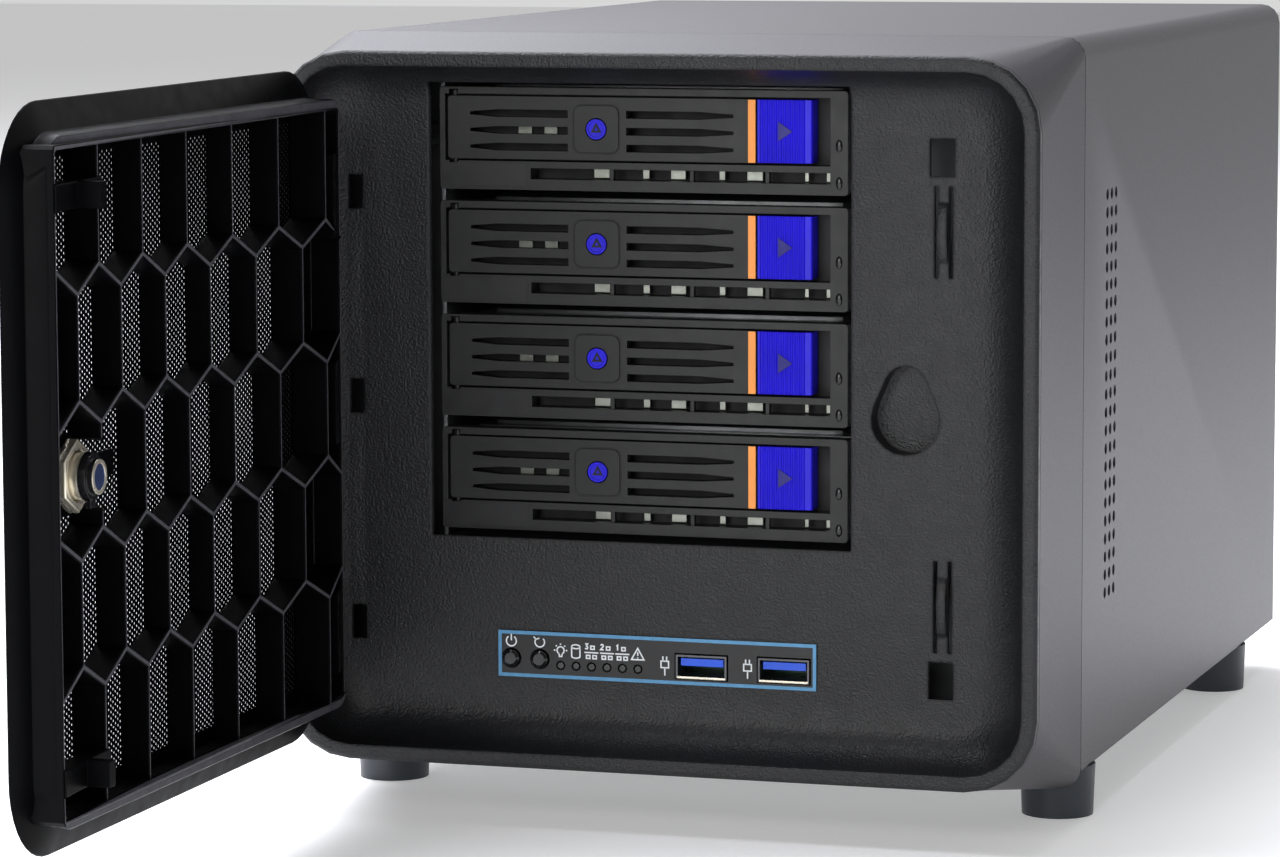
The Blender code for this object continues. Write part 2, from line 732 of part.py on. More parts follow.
def drive_cage():
    left = TRAY_LEFT - CAGE_SIDE_GAP
    right = TRAY_RIGHT + CAGE_SIDE_GAP
    inner = cage_side(right, -1, CAGE_BOTTOM + SHEET, CAGE_TOP - SHEET)
    inner += list(reversed(cage_side(left, 1, CAGE_BOTTOM + SHEET, CAGE_TOP - SHEET)))
    outer = rectangle((left - SHEET, right + SHEET), (CAGE_BOTTOM, CAGE_TOP))
    cage = plate("drive_cage", [outer, inner], CAGE_FRONT, CAGE_BACK - CAGE_FRONT)
    finish(cage, STEEL)


def cage_shelf():
    """Bridge that carries the cage over the motherboard: a top with a leg at each side."""
    half = HALF_WIDTH - SHEET - 2 * GAP
    top = CAGE_BOTTOM - GAP
    outline = [
        (-half, BASE_THICKNESS + GAP),
        (-half + SHEET, BASE_THICKNESS + GAP),
        (-half + SHEET, top - SHEET),
        (half - SHEET, top - SHEET),
        (half - SHEET, BASE_THICKNESS + GAP),
        (half, BASE_THICKNESS + GAP),
        (half, top),
        (-half, top),
    ]
    shelf = plate("cage_shelf", [outline], SEAM_Y + 1 * MM, 150 * MM)
    finish(shelf, STEEL)


def backplane():
    front = CAGE_BACK + GAP
    board = box("backplane", (TRAY_LEFT, TRAY_RIGHT), (front, front + 1.6 * MM), (58 * MM, 176 * MM))
    connectors = []
    across = (TRAY_LEFT + 12 * MM, TRAY_LEFT + 46 * MM)
    reach = (front - 5.2 * MM, front + 1 * MM)
    for bay in range(BAY_COUNT):
        low = TOP_TRAY_Z - bay * BAY_PITCH + 3 * MM
        connectors.append(box("connector", across, reach, (low, low + 6 * MM)))
    join(board, *connectors)
    finish(board, BOARD)


def motherboard():
    """Board with its row of rear sockets, standing on four posts."""
    board_low = 8 * MM
    rear = REAR_Y - 1.4 * MM - GAP
    board = box(
        "motherboard",
        (-83 * MM, 87 * MM),
        (rear - 172 * MM, rear - 2 * MM),
        (board_low, board_low + 1.6 * MM),
    )
    low_row = (board_low + 1 * MM, board_low + 18 * MM)
    tall_row = (board_low + 15 * MM, board_low + 32 * MM)
    sockets = [
        box("sockets", (-66 * MM, 70 * MM), (rear - 22 * MM, rear), low_row),
        box("network_sockets", (-20 * MM, 16 * MM), (rear - 21 * MM, rear - 0.1 * MM), tall_row),
    ]
    posts = []
    for x in (-76 * MM, 80 * MM):
        for y in (rear - 165 * MM, rear - 10 * MM):
            low = BASE_THICKNESS + GAP
            middle = Vector((x, y, (low + board_low + 1 * MM) / 2))
            posts.append(cylinder("post", middle, 3 * MM, board_low + 1 * MM - low, "Z", 8))
    join(board, *sockets, *posts)
    finish(board, BOARD)


def cpu_heatsink():
    """Finned block: a foot with upright fins."""
    fin_count = 9
    left, right = -30 * MM, 26 * MM
    fin = 1.6 * MM
    pitch = (right - left - fin) / (fin_count - 1)
    low = 10 * MM
    front, back = -25 * MM, 31 * MM
    block = box("cpu_heatsink", (left, right), (front, back), (low, low + 8 * MM))
    fins = []
    for index in range(fin_count):
        x = left + index * pitch
        fins.append(box("fin", (x, x + fin), (front, back), (low + 4 * MM, low + 34 * MM)))
    join(block, *fins)
    finish(block, DRIVE_METAL)


def memory_module():
    stick = box("memory_module", (46 * MM, 47.4 * MM), (-35 * MM, 98 * MM), (9.9 * MM, 40 * MM))
    holder = box("holder", (43.5 * MM, 50 * MM), (-38 * MM, 101 * MM), (9.9 * MM, 16 * MM))
    join(stick, holder)
    finish(stick, BOARD)


def power_supply():
    width, length, height = SUPPLY_SIZE
    rear = REAR_Y - 1.4 * MM - GAP
    x = (SUPPLY_CENTRE.x - width / 2, SUPPLY_CENTRE.x + width / 2)
    z = (SUPPLY_CENTRE.z - height / 2, SUPPLY_CENTRE.z + height / 2)
    supply = box("power_supply", x, (rear - length, rear), z)
    pocket = box(
        "inlet_pocket",
        (SUPPLY_CENTRE.x - 14.5 * MM, SUPPLY_CENTRE.x + 14.5 * MM),
        (rear - 20 * MM, rear + 5 * MM),
        (SUPPLY_CENTRE.z - 35 * MM, SUPPLY_CENTRE.z - 12 * MM),
    )
    cut(supply, pocket)
    finish(supply, STEEL)


def power_inlet():
    """Mains inlet in the power supply: a rounded shroud with three flat pins."""
    rear = REAR_Y + 1.0 * MM
    x, z = SUPPLY_CENTRE.x, SUPPLY_CENTRE.z - 23.5 * MM
    depth = 19 * MM
    floor = rear - 15 * MM
    outer_x = (x - 13.8 * MM, x + 13.8 * MM)
    inner_x = (x - 11.8 * MM, x + 11.8 * MM)
    body = box("power_inlet", outer_x, (rear - depth, rear), (z - 11 * MM, z + 11 * MM), 1.5 * MM, 1)
    hollow = box("hollow", inner_x, (floor, rear + 1 * MM), (z - 8 * MM, z + 8 * MM), 3 * MM, 1)
    cut(body, hollow)
    for offset_x, offset_z in ((-7 * MM, -2 * MM), (0, 2.5 * MM), (7 * MM, -2 * MM)):
        pin = box(
            "pin",
            (x + offset_x - 1 * MM, x + offset_x + 1 * MM),
            (floor - 1 * MM, rear - 3 * MM),
            (z + offset_z - 2 * MM, z + offset_z + 2 * MM),
        )
        join(body, pin)
    finish(body, GLOSS_BLACK)


FAN_REAR = REAR_Y - 1.4 * MM - GAP


def annulus_piece(start, end, inner, outer):
    cx, cz = FAN_CENTRE.x, FAN_CENTRE.z
    return arc(cx, cz, outer, start, end, 8) + list(reversed(arc(cx, cz, inner, start, end, 6)))


def rear_fan_frame():
    half = FAN_SIZE / 2
    cx, cz = FAN_CENTRE.x, FAN_CENTRE.z
    square = rounded_rectangle((cx - half, cx + half), (cz - half, cz + half), 5 * MM, 2)
    duct = circle(cx, cz, 57.5 * MM, 36)
    frame = plate("rear_fan_frame", [square, duct], FAN_REAR - FAN_DEPTH, FAN_DEPTH)
    strut = radians(4)
    quarters = []
    for quarter in range(4):
        start = pi / 4 + quarter * pi / 2
        quarters.append(annulus_piece(start + strut, start + pi / 2 - strut, 21 * MM, 56 * MM))
    disc = circle(cx, cz, 58.6 * MM, 32)
    spider = plate("spider", [disc, *quarters], FAN_REAR - 2.8 * MM, 2.5 * MM)
    join(frame, spider)
    finish(frame, BLACK_PLASTIC, smooth=True)


def rear_fan_rotor():
    """Hub with seven pitched blades, turning about its own centre line."""
    blade_count = 7
    middle_y = FAN_REAR - 14 * MM
    centre = Vector((FAN_CENTRE.x, middle_y, FAN_CENTRE.z))
    rotor = cylinder("rear_fan_rotor", centre, 20 * MM, 18 * MM, "Y", 28)
    for index in range(blade_count):
        blade = box("blade", (18 * MM, 55 * MM), (-0.8 * MM, 0.8 * MM), (-11 * MM, 11 * MM))
        pitch = Matrix.Rotation(radians(60), 4, "X")
        around = Matrix.Rotation(2 * pi * index / blade_count, 4, "Y")
        blade.data.transform(Matrix.Translation(centre) @ around @ pitch)
        join(rotor, blade)
    finish(rotor, BLACK_PLASTIC, smooth=True)
    set_origin(rotor, centre)


# ---------------------------------------------------------------- drive trays


LEVER_LEFT = TRAY_LEFT + 2.1 * MM
LEVER_RIGHT = TRAY_LEFT + 84 * MM
LEVER_LOW = 7.8 * MM
LEVER_HIGH = 23.8 * MM
LEVER_THICKNESS = 3 * MM
LEVER_PIVOT = Vector((LEVER_LEFT + 1.6 * MM, TRAY_FRONT_Y + 1.7 * MM, 0))
DIAL_X = TRAY_LEFT + 42 * MM
DIAL_Z = 15.7 * MM
DIAL_RADIUS = 2.6 * MM
SLOT_MIDDLE_Z = 15.2 * MM
SLOT_PITCH = 4.25 * MM
SLOT_HALF_HEIGHT = 0.95 * MM
TRAY_PLATE_DEPTH = 5 * MM


def tray_frame():
    """Front frame with its lever opening and air slot, two rails and a rear bar."""
    front = TRAY_FRONT_Y
    back = front + DRIVE_SETBACK + DRIVE_SIZE[1]
    outline = rounded_rectangle((TRAY_LEFT, TRAY_RIGHT), (0, TRAY_HEIGHT), 0.8 * MM, 2)
    left = LEVER_LEFT - 0.7 * MM
    right = TRAY_RIGHT - 4.6 * MM
    low = LEVER_LOW - 0.5 * MM
    high = LEVER_HIGH + 0.5 * MM
    notch = (LEVER_PIVOT.x - 1.2 * MM, LEVER_PIVOT.x + 1.2 * MM)
    notch_depth = 1.2 * MM
    sunk = low - notch_depth
    raised = high + notch_depth
    opening = [(left, low), (notch[0], low), (notch[0], sunk), (notch[1], sunk)]
    opening += [(notch[1], low), (right, low), (right, high), (notch[1], high)]
    opening += [(notch[1], raised), (notch[0], raised), (notch[0], high), (left, high)]
    air_slot = rectangle((TRAY_LEFT + 24.4 * MM, right), (2.8 * MM, 5.6 * MM))
    frame = plate("tray_frame", [outline, opening, air_slot], front, TRAY_PLATE_DEPTH)
    rail = 2.8 * MM
    rails = [
        box("rail", (x, x + rail), (front + 4 * MM, back + 3 * MM), (RAIL_RISE, 22 * MM))
        for x in (TRAY_LEFT, TRAY_RIGHT - rail)
    ]
    across = (TRAY_LEFT + 1 * MM, TRAY_RIGHT - 1 * MM)
    rear_bar = box("rear_bar", across, (back + 0.6 * MM, back + 2.4 * MM), (14 * MM, 21 * MM))
    join(frame, *rails, rear_bar)
    return finish(frame, TRAY_PLASTIC)


def tapered_slot(blunt_x, shoulder_x, tip_x, z):
    """A slot with a square end by the dial that narrows from its shoulder to its tip."""
    half = SLOT_HALF_HEIGHT
    narrow = 0.4 * half
    outline = [(blunt_x, z - half), (shoulder_x, z - half), (tip_x, z - narrow)]
    outline += [(tip_x, z + narrow), (shoulder_x, z + half), (blunt_x, z + half)]
    return outline


def lever_slots():
    """Three long slots on each side of the dial."""
    slots = []
    for row in (-1, 0, 1):
        z = SLOT_MIDDLE_Z + row * SLOT_PITCH
        slots.append(tapered_slot(-27.6 * MM, -46.5 * MM, -53.8 * MM, z))
        slots.append(tapered_slot(-12.0 * MM, 7.5 * MM, 16.2 * MM, z))
    return slots


def latch_lever():
    outline = rounded_rectangle((LEVER_LEFT, LEVER_RIGHT), (LEVER_LOW, LEVER_HIGH), 0.8 * MM, 2)
    dial_hole = circle(DIAL_X, DIAL_Z, DIAL_RADIUS + GAP, 16)
    lever = plate("latch_lever", [outline, dial_hole], TRAY_FRONT_Y + 0.2 * MM, LEVER_THICKNESS)
    cut(lever, plate("slots", lever_slots(), TRAY_FRONT_Y - 1 * MM, LEVER_THICKNESS + 3 * MM))
    stubs = []
    for z in (LEVER_LOW - 0.2 * MM, LEVER_HIGH + 0.2 * MM):
        centre = Vector((LEVER_PIVOT.x, LEVER_PIVOT.y, z))
        stubs.append(cylinder("stub", centre, 0.8 * MM, 2.4 * MM, "Z", 10))
    join(lever, *stubs)
    return finish(lever, TRAY_PLASTIC)


def release_button():
    left = LEVER_RIGHT + 0.4 * MM
    button = box(
        "release_button",
        (left, left + 14.2 * MM),
        (TRAY_FRONT_Y - 0.2 * MM, TRAY_FRONT_Y + 6 * MM),
        (LEVER_LOW + 0.1 * MM, LEVER_HIGH - 0.1 * MM),
        0.5 * MM,
        2,
        2,
    )
    return finish(button, BLUE_PLASTIC)


def lock_dial():
    centre = Vector((DIAL_X, TRAY_FRONT_Y + 1.5 * MM, DIAL_Z))
    dial = cylinder("lock_dial", centre, DIAL_RADIUS, 3.4 * MM, "Y", 16)
    return finish(dial, BLUE_PLASTIC, smooth=True)


def hard_drive():
    width, length, height = DRIVE_SIZE
    middle = (TRAY_LEFT + TRAY_RIGHT) / 2
    front = TRAY_FRONT_Y + DRIVE_SETBACK
    x = (middle - width / 2, middle + width / 2)
    low = 0.4 * MM
    body = box("hard_drive", x, (front, front + length), (low, low + height - 1 * MM), 1.2 * MM, 2, 2)
    lid = box(
        "lid",
        (x[0] + 3 * MM, x[1] - 3 * MM),
        (front + 3 * MM, front + length - 3 * MM),
        (low + height - 2 * MM, low + height),
        4 * MM,
        2,
        2,
    )
    join(body, lid)
    return finish(body, DRIVE_METAL)


def tray_set():
    """The pieces of one tray, modelled at height zero, with each moving piece's origin on its axis."""
    frame = set_origin(tray_frame(), (0, TRAY_FRONT_Y, 0))
    lever = set_origin(latch_lever(), LEVER_PIVOT)
    button = set_origin(release_button(), (LEVER_RIGHT, TRAY_FRONT_Y, DIAL_Z))
    dial = set_origin(lock_dial(), (DIAL_X, TRAY_FRONT_Y, DIAL_Z))
    drive = set_origin(hard_drive(), (0, TRAY_FRONT_Y + DRIVE_SETBACK, 0))
    return [frame, lever, button, dial, drive]


def drive_trays():
    originals = tray_set()
    for bay in range(BAY_COUNT):
        pivot = make_pivot(f"tray_{bay + 1}_slide", (0, TRAY_FRONT_Y, TOP_TRAY_Z - bay * BAY_PITCH))
        for original in originals:
            copy = bpy.data.objects.new(f"{original.name}_{bay + 1}", original.data)
            PARTS.objects.link(copy)
            copy.parent = pivot
            copy.location = original.location - Vector((0, TRAY_FRONT_Y, 0))
    for original in originals:
        bpy.data.objects.remove(original, do_unlink=True)


# ---------------------------------------------------------------- door


DOOR_MIDDLE_Z = (DOOR_BOTTOM + DOOR_TOP) / 2
BLOCK_BOTTOM = DOOR_MIDDLE_Z - CELL_ROWS * CELL_ROW_PITCH / 2 - BLOCK_BORDER
BLOCK_TOP = DOOR_MIDDLE_Z + CELL_ROWS * CELL_ROW_PITCH / 2 + BLOCK_BORDER
CELL_PITCH = (BLOCK_RIGHT - BLOCK_LEFT - 2 * BLOCK_BORDER + RIB) / CELL_COLUMNS


def clip(value, low, high):
    return max(low, min(high, value))


def cell_outline(column_x, row):
    """One six-sided cell, cut off where it meets the block's border."""
    half = (CELL_PITCH - RIB) / 2
    middle = BLOCK_TOP - BLOCK_BORDER - (row + 0.5) * CELL_ROW_PITCH
    left = clip(column_x - half, BLOCK_LEFT + BLOCK_BORDER, BLOCK_RIGHT - BLOCK_BORDER)
    right = clip(column_x + half, BLOCK_LEFT + BLOCK_BORDER, BLOCK_RIGHT - BLOCK_BORDER)
    slope = CELL_POINT / (CELL_PITCH / 2)
    flat = CELL_ROW_PITCH / 2 - CELL_POINT / 2 - RIB / 2

    def reach(x):
        return flat + (half - abs(x - column_x)) * slope

    top = middle + CELL_ROW_PITCH / 2
    low = middle - CELL_ROW_PITCH / 2
    tip = clip(column_x, left, right)
    lower = [(x, middle - reach(x)) for x in (left, tip, right)]
    upper = [(x, middle + reach(x)) for x in (right, tip, left)]
    if row == 0:
        upper = [(right, top), (left, top)]
    if row == CELL_ROWS - 1:
        lower = [(left, low), (right, low)]
    points = []
    for point in lower + upper:
        if not points or (Vector(point) - Vector(points[-1])).length > 1e-5:
            points.append(point)
    return points


def honeycomb_cells():
    """Rows of cells, every second row shifted by half a cell."""
    cells = []
    start = BLOCK_RIGHT - BLOCK_BORDER + RIB / 2
    for row in range(CELL_ROWS):
        shift = 0.5 if row % 2 == 0 else 0.0
        count = int(CELL_COLUMNS) + 1
        for column in range(count):
            cells.append(cell_outline(start - (column + shift) * CELL_PITCH, row))
    return cells


def hinge_block(z):
    span = KNUCKLE_LENGTH / 2 + GAP + LUG_LENGTH + 2.5 * MM
    return box(
        "hinge_block",
        (BLOCK_LEFT + 0.5 * MM, DOOR_PIVOT.x + 6.5 * MM),
        (DOOR_FRONT_Y + DOOR_MESH_SETBACK + 0.2 * MM, DOOR_FRONT_Y + DOOR_DEPTH - 0.3 * MM),
        (z - span, z + span),
    )


def hinge_notch(z):
    span = KNUCKLE_LENGTH / 2 + 2 * GAP + LUG_LENGTH
    reach = LUG_RADIUS + 0.5 * MM
    return box(
        "hinge_notch",
        (-DOOR_HALF_WIDTH - 1 * MM, DOOR_PIVOT.x + reach),
        (DOOR_FRONT_Y - 1 * MM, DOOR_PIVOT.y + reach),
        (z - span, z + span),
    )


def hinge_knuckle(z):
    """Eye round the pin with a short arm back into the door."""
    centre = Vector((DOOR_PIVOT.x, DOOR_PIVOT.y, z))
    eye = cylinder("knuckle", centre, KNUCKLE_RADIUS, KNUCKLE_LENGTH, "Z", 16)
    arm = box(
        "arm",
        (DOOR_PIVOT.x, DOOR_PIVOT.x + LUG_RADIUS + 1.5 * MM),
        (DOOR_PIVOT.y - 1.3 * MM, DOOR_PIVOT.y + KNUCKLE_RADIUS - 0.15 * MM),
        (z - KNUCKLE_LENGTH / 2 + 0.2 * MM, z + KNUCKLE_LENGTH / 2 - 0.2 * MM),
    )
    join(eye, arm)
    cut(eye, cylinder("bore", centre, PIN_RADIUS + GAP, KNUCKLE_LENGTH * 2, "Z", 12))
    return eye


def latch_tab(z):
    """Bar across the first cell with the hook that enters the latch socket."""
    back = DOOR_FRONT_Y + DOOR_DEPTH
    half = 3 * MM
    bar = box(
        "latch_bar",
        (BLOCK_RIGHT - BLOCK_BORDER - CELL_PITCH - 1 * MM, BLOCK_RIGHT - 0.4 * MM),
        (back - 3 * MM, back + 0.6 * MM),
        (z - half, z + half),
    )
    hook_x = (LATCH_X - 1.6 * MM, LATCH_X + 1.6 * MM)
    hook = box("hook", hook_x, (back - 1 * MM, PANEL_Y + 1.4 * MM), (z - half, z + half))
    join(bar, hook)
    return bar


LOCK_SEAT_Y = DOOR_FRONT_Y + DOOR_MESH_SETBACK + 0.2 * MM


def lock_bridge():
    """Thin round seat with a bar across the cells, which carries the lock."""
    back = LOCK_SEAT_Y + LOCK_BOSS_THICKNESS
    middle = Vector((LOCK_X, (LOCK_SEAT_Y + back) / 2, LOCK_Z))
    seat = cylinder("seat", middle, LOCK_BOSS_RADIUS, LOCK_BOSS_THICKNESS, "Y", 24)
    bar = box(
        "bar",
        (LOCK_X - CELL_PITCH, BLOCK_RIGHT - 0.4 * MM),
        (LOCK_SEAT_Y, back),
        (LOCK_Z - 3 * MM, LOCK_Z + 3 * MM),
    )
    join(seat, bar)
    return seat


def lock_clearance():
    """Room among the ribs for the nut."""
    length = 12 * MM
    middle = Vector((LOCK_X, LOCK_SEAT_Y + LOCK_BOSS_THICKNESS + length / 2, LOCK_Z))
    return cylinder("lock_clearance", middle, LOCK_CLEARANCE_RADIUS, length, "Y", 24)


def door_frame():
    block_outline = rounded_rectangle((BLOCK_LEFT, BLOCK_RIGHT), (BLOCK_BOTTOM, BLOCK_TOP), 1.0 * MM, 1)
    lap = 0.5 * MM
    window = rounded_rectangle(
        (BLOCK_LEFT + lap, BLOCK_RIGHT - lap),
        (BLOCK_BOTTOM + lap, BLOCK_TOP - lap),
        0.5 * MM,
        1,
    )
    width = (-DOOR_HALF_WIDTH, DOOR_HALF_WIDTH)
    outline = rounded_rectangle(width, (DOOR_BOTTOM, DOOR_TOP), DOOR_CORNER, 8)
    frame = plate("door_frame", [outline, window], DOOR_FRONT_Y, DOOR_FLANGE)
    comb_front = DOOR_FRONT_Y + DOOR_MESH_SETBACK
    comb = plate("comb", [block_outline, *honeycomb_cells()], comb_front, DOOR_DEPTH - DOOR_MESH_SETBACK)
    join(frame, comb)
    join(frame, lock_bridge())
    cut(frame, lock_clearance())
    for z in HINGE_HEIGHTS:
        join(frame, hinge_block(z))
        cut(frame, hinge_notch(z))
        join(frame, hinge_knuckle(z))
    for z in LATCH_HEIGHTS:
        join(frame, latch_tab(z))
    lock_hole = cylinder("lock_hole", Vector((LOCK_X, DOOR_FRONT_Y, LOCK_Z)), 5.9 * MM, 30 * MM, "Y", 24)
    cut(frame, lock_hole)
    return finish(frame, BLACK_PLASTIC)


def door_mesh():
    """Perforated steel sheet over the honeycomb's front, with a hole for the lock."""
    margin = 0.9 * MM
    width = (BLOCK_LEFT + margin, BLOCK_RIGHT - margin)
    outline = rectangle(width, (BLOCK_BOTTOM + margin, BLOCK_TOP - margin))
    hole = circle(LOCK_X, LOCK_Z, 6.1 * MM, 24)
    notch_x = (BLOCK_LEFT - 1 * MM, DOOR_PIVOT.x + 5 * MM)
    notches = [rectangle(notch_x, (z - 10.5 * MM, z + 10.5 * MM)) for z in HINGE_HEIGHTS]
    sheet = plate("door_mesh", [outline, hole], DOOR_FRONT_Y + 0.2 * MM, 0.6 * MM)
    cut(sheet, plate("notches", notches, DOOR_FRONT_Y - 1 * MM, 3 * MM))
    return finish(sheet, MESH_STEEL)


def lock_barrel():
    """Threaded barrel through the door with a flange on the outside and a bore for the plug."""
    front = DOOR_FRONT_Y - 2.2 * MM
    end = DOOR_FRONT_Y + LOCK_REACH
    axis_point = Vector((LOCK_X, 0, LOCK_Z))
    middle = axis_point + Vector((0, (front + end) / 2, 0))
    barrel = cylinder("lock_barrel", middle, 5.5 * MM, end - front, "Y", 24)
    flange_middle = axis_point + Vector((0, DOOR_FRONT_Y - 1.25 * MM, 0))
    join(barrel, cylinder("flange", flange_middle, 8 * MM, 1.9 * MM, "Y", 24))
    cut(barrel, cylinder("bore", middle, 3.6 * MM, 40 * MM, "Y", 20))
    return finish(barrel, NICKEL, smooth=True)


def lock_plug():
    """Key plug that turns in the barrel, with a disc, an end cap and a tooth behind it."""
    front = DOOR_FRONT_Y - 2.0 * MM
    disc_front = DOOR_FRONT_Y + LOCK_REACH + GAP
    disc_back = disc_front + 1.6 * MM
    tip = disc_back + 1.2 * MM
    axis_point = Vector((LOCK_X, 0, LOCK_Z))
    plug_middle = axis_point + Vector((0, (front + tip) / 2, 0))
    disc_middle = axis_point + Vector((0, (disc_front + disc_back) / 2, 0))
    cap_middle = axis_point + Vector((0, (disc_back + tip) / 2, 0))
    plug = cylinder("lock_plug", plug_middle, 3.3 * MM, tip - front, "Y", 20)
    disc = cylinder("disc", disc_middle, 5.7 * MM, disc_back - disc_front, "Y", 24, 5.3 * MM)
    cap = cylinder("cap", cap_middle, 4.3 * MM, tip - disc_back, "Y", 24, 4.1 * MM)
    tooth = box(
        "tooth",
        (LOCK_X - 1.5 * MM, LOCK_X + 1.5 * MM),
        (disc_front + 0.1 * MM, disc_front + 1.3 * MM),
        (LOCK_Z - 7.2 * MM, LOCK_Z - 3 * MM),
    )
    join(plug, disc, cap, tooth)
    slot_x = (LOCK_X - 0.6 * MM, LOCK_X + 0.6 * MM)
    slot_z = (LOCK_Z - 2.4 * MM, LOCK_Z + 2.4 * MM)
    key_slot = box("key_slot", slot_x, (front - 1 * MM, front + 3 * MM), slot_z)
    cut(plug, key_slot)
    finish(plug, GLOSS_BLACK, smooth=True)
    return set_origin(plug, (LOCK_X, disc_front, LOCK_Z))


def lock_nut():
    thickness = 3.2 * MM
    front = LOCK_SEAT_Y + LOCK_BOSS_THICKNESS + GAP
    centre = Vector((LOCK_X, front + thickness / 2, LOCK_Z))
    nut = cylinder("lock_nut", centre, 8.6 * MM, thickness, "Y", 6)
    cut(nut, cylinder("bore", centre, 5.8 * MM, 20 * MM, "Y", 24))
    return finish(nut, NICKEL)


def door():
    """The closed door's pieces, swung open together about the hinge pins."""
    pivot = make_pivot("door_pivot", DOOR_PIVOT)
    for piece in (door_frame(), door_mesh(), lock_barrel(), lock_plug(), lock_nut()):
        attach(piece, pivot)
    pivot.rotation_euler = (0, 0, -DOOR_OPEN_ANGLE)


base_plate()
outer_cover()
front_sheet()
rear_panel()
io_shield()
feet()
thumb_screws()
bezel_ring()
front_bezel()
control_label()
push_buttons()
status_light_guide()
usb_ports()
front_io_board()
drive_cage()
cage_shelf()
backplane()
motherboard()
cpu_heatsink()
memory_module()
power_supply()
power_inlet()
rear_fan_frame()
rear_fan_rotor()
drive_trays()
door()
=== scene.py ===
"""The looks of a desktop storage box with four drive trays and an open honeycomb door."""

import math

import bmesh
import bpy
from mathutils import Matrix, Vector


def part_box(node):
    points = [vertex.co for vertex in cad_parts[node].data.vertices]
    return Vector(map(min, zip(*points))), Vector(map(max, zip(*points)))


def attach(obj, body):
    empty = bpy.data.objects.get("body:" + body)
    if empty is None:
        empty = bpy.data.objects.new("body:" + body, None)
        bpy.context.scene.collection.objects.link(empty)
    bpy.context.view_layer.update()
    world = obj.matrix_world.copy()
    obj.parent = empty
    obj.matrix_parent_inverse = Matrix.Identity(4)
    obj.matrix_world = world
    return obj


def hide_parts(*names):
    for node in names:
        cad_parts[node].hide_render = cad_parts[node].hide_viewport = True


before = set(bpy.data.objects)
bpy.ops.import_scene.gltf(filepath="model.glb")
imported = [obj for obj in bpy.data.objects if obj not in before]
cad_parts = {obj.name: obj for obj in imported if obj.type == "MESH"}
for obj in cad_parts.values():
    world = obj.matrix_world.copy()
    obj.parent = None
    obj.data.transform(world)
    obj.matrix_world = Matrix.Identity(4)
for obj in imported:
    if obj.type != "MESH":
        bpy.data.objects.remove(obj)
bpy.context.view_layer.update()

MM = 0.001
TRAYS = (1, 2, 3, 4)
WELD_DISTANCE = 0.00001
SMOOTH_ANGLE = math.radians(34)

# Camera
CAMERA_AT = (0.37691, -1.35726, 0.23417)
CAMERA_YAW = -0.31122
CAMERA_PITCH = -0.11611
CAMERA_ROLL = -0.00346
CAMERA_LENS = 140.46

# Floor
FLOOR_Z = -0.0136
FLOOR_SIZE = 12.0
FLOOR_GLOW = 0.3

# Surroundings: strength from behind the camera to in front of it, and the directions between
WORLD_STRENGTH = (0.1, 0.68)
WORLD_SPAN = (-0.1, 0.95)

# Lamps: name, place, target, size, power, colour
LAMPS = (
    ("top_box", (-0.8, 0.5, 1.7), (0.0, 0.0, 0.1), (2.0, 2.0), 106.0, (0.93, 0.94, 1.0)),
    ("front_box", (0.1, -2.5, 0.95), (0.0, -0.1, 0.1), (1.4, 1.4), 14.0, (1.0, 1.0, 1.0)),
    ("low_box", (-0.35, -1.9, 0.5), (0.05, -0.1, 0.1), (0.9, 0.9), 7.5, (1.0, 1.0, 1.0)),
)


# Materials


def add_node(tree, kind, inputs=(), **settings):
    """A shader node with its settings, and its inputs set or linked."""
    node = tree.nodes.new(kind)
    for key, value in settings.items():
        setattr(node, key, value)
    for key, value in dict(inputs).items():
        if isinstance(value, bpy.types.NodeSocket):
            tree.links.new(value, node.inputs[key])
        else:
            node.inputs[key].default_value = value
    return node


def scaled_noise(tree, place, size, detail=3.0):
    """Noise whose features are about this many metres across."""
    return add_node(
        tree,
        "ShaderNodeTexNoise",
        {"Vector": place, "Scale": 1.0 / size, "Detail": detail},
    ).outputs["Fac"]


def remap(tree, value, low, high, start=0.3, end=0.7):
    """Stretches a value's range from start to end so that it runs from low to high."""
    return add_node(
        tree,
        "ShaderNodeMapRange",
        {"Value": value, "From Min": start, "From Max": end, "To Min": low, "To Max": high},
    ).outputs["Result"]


def shade(color, factor):
    """The same hue, lighter or darker."""
    return tuple(min(1.0, c * factor) for c in color[:3]) + (1.0,)


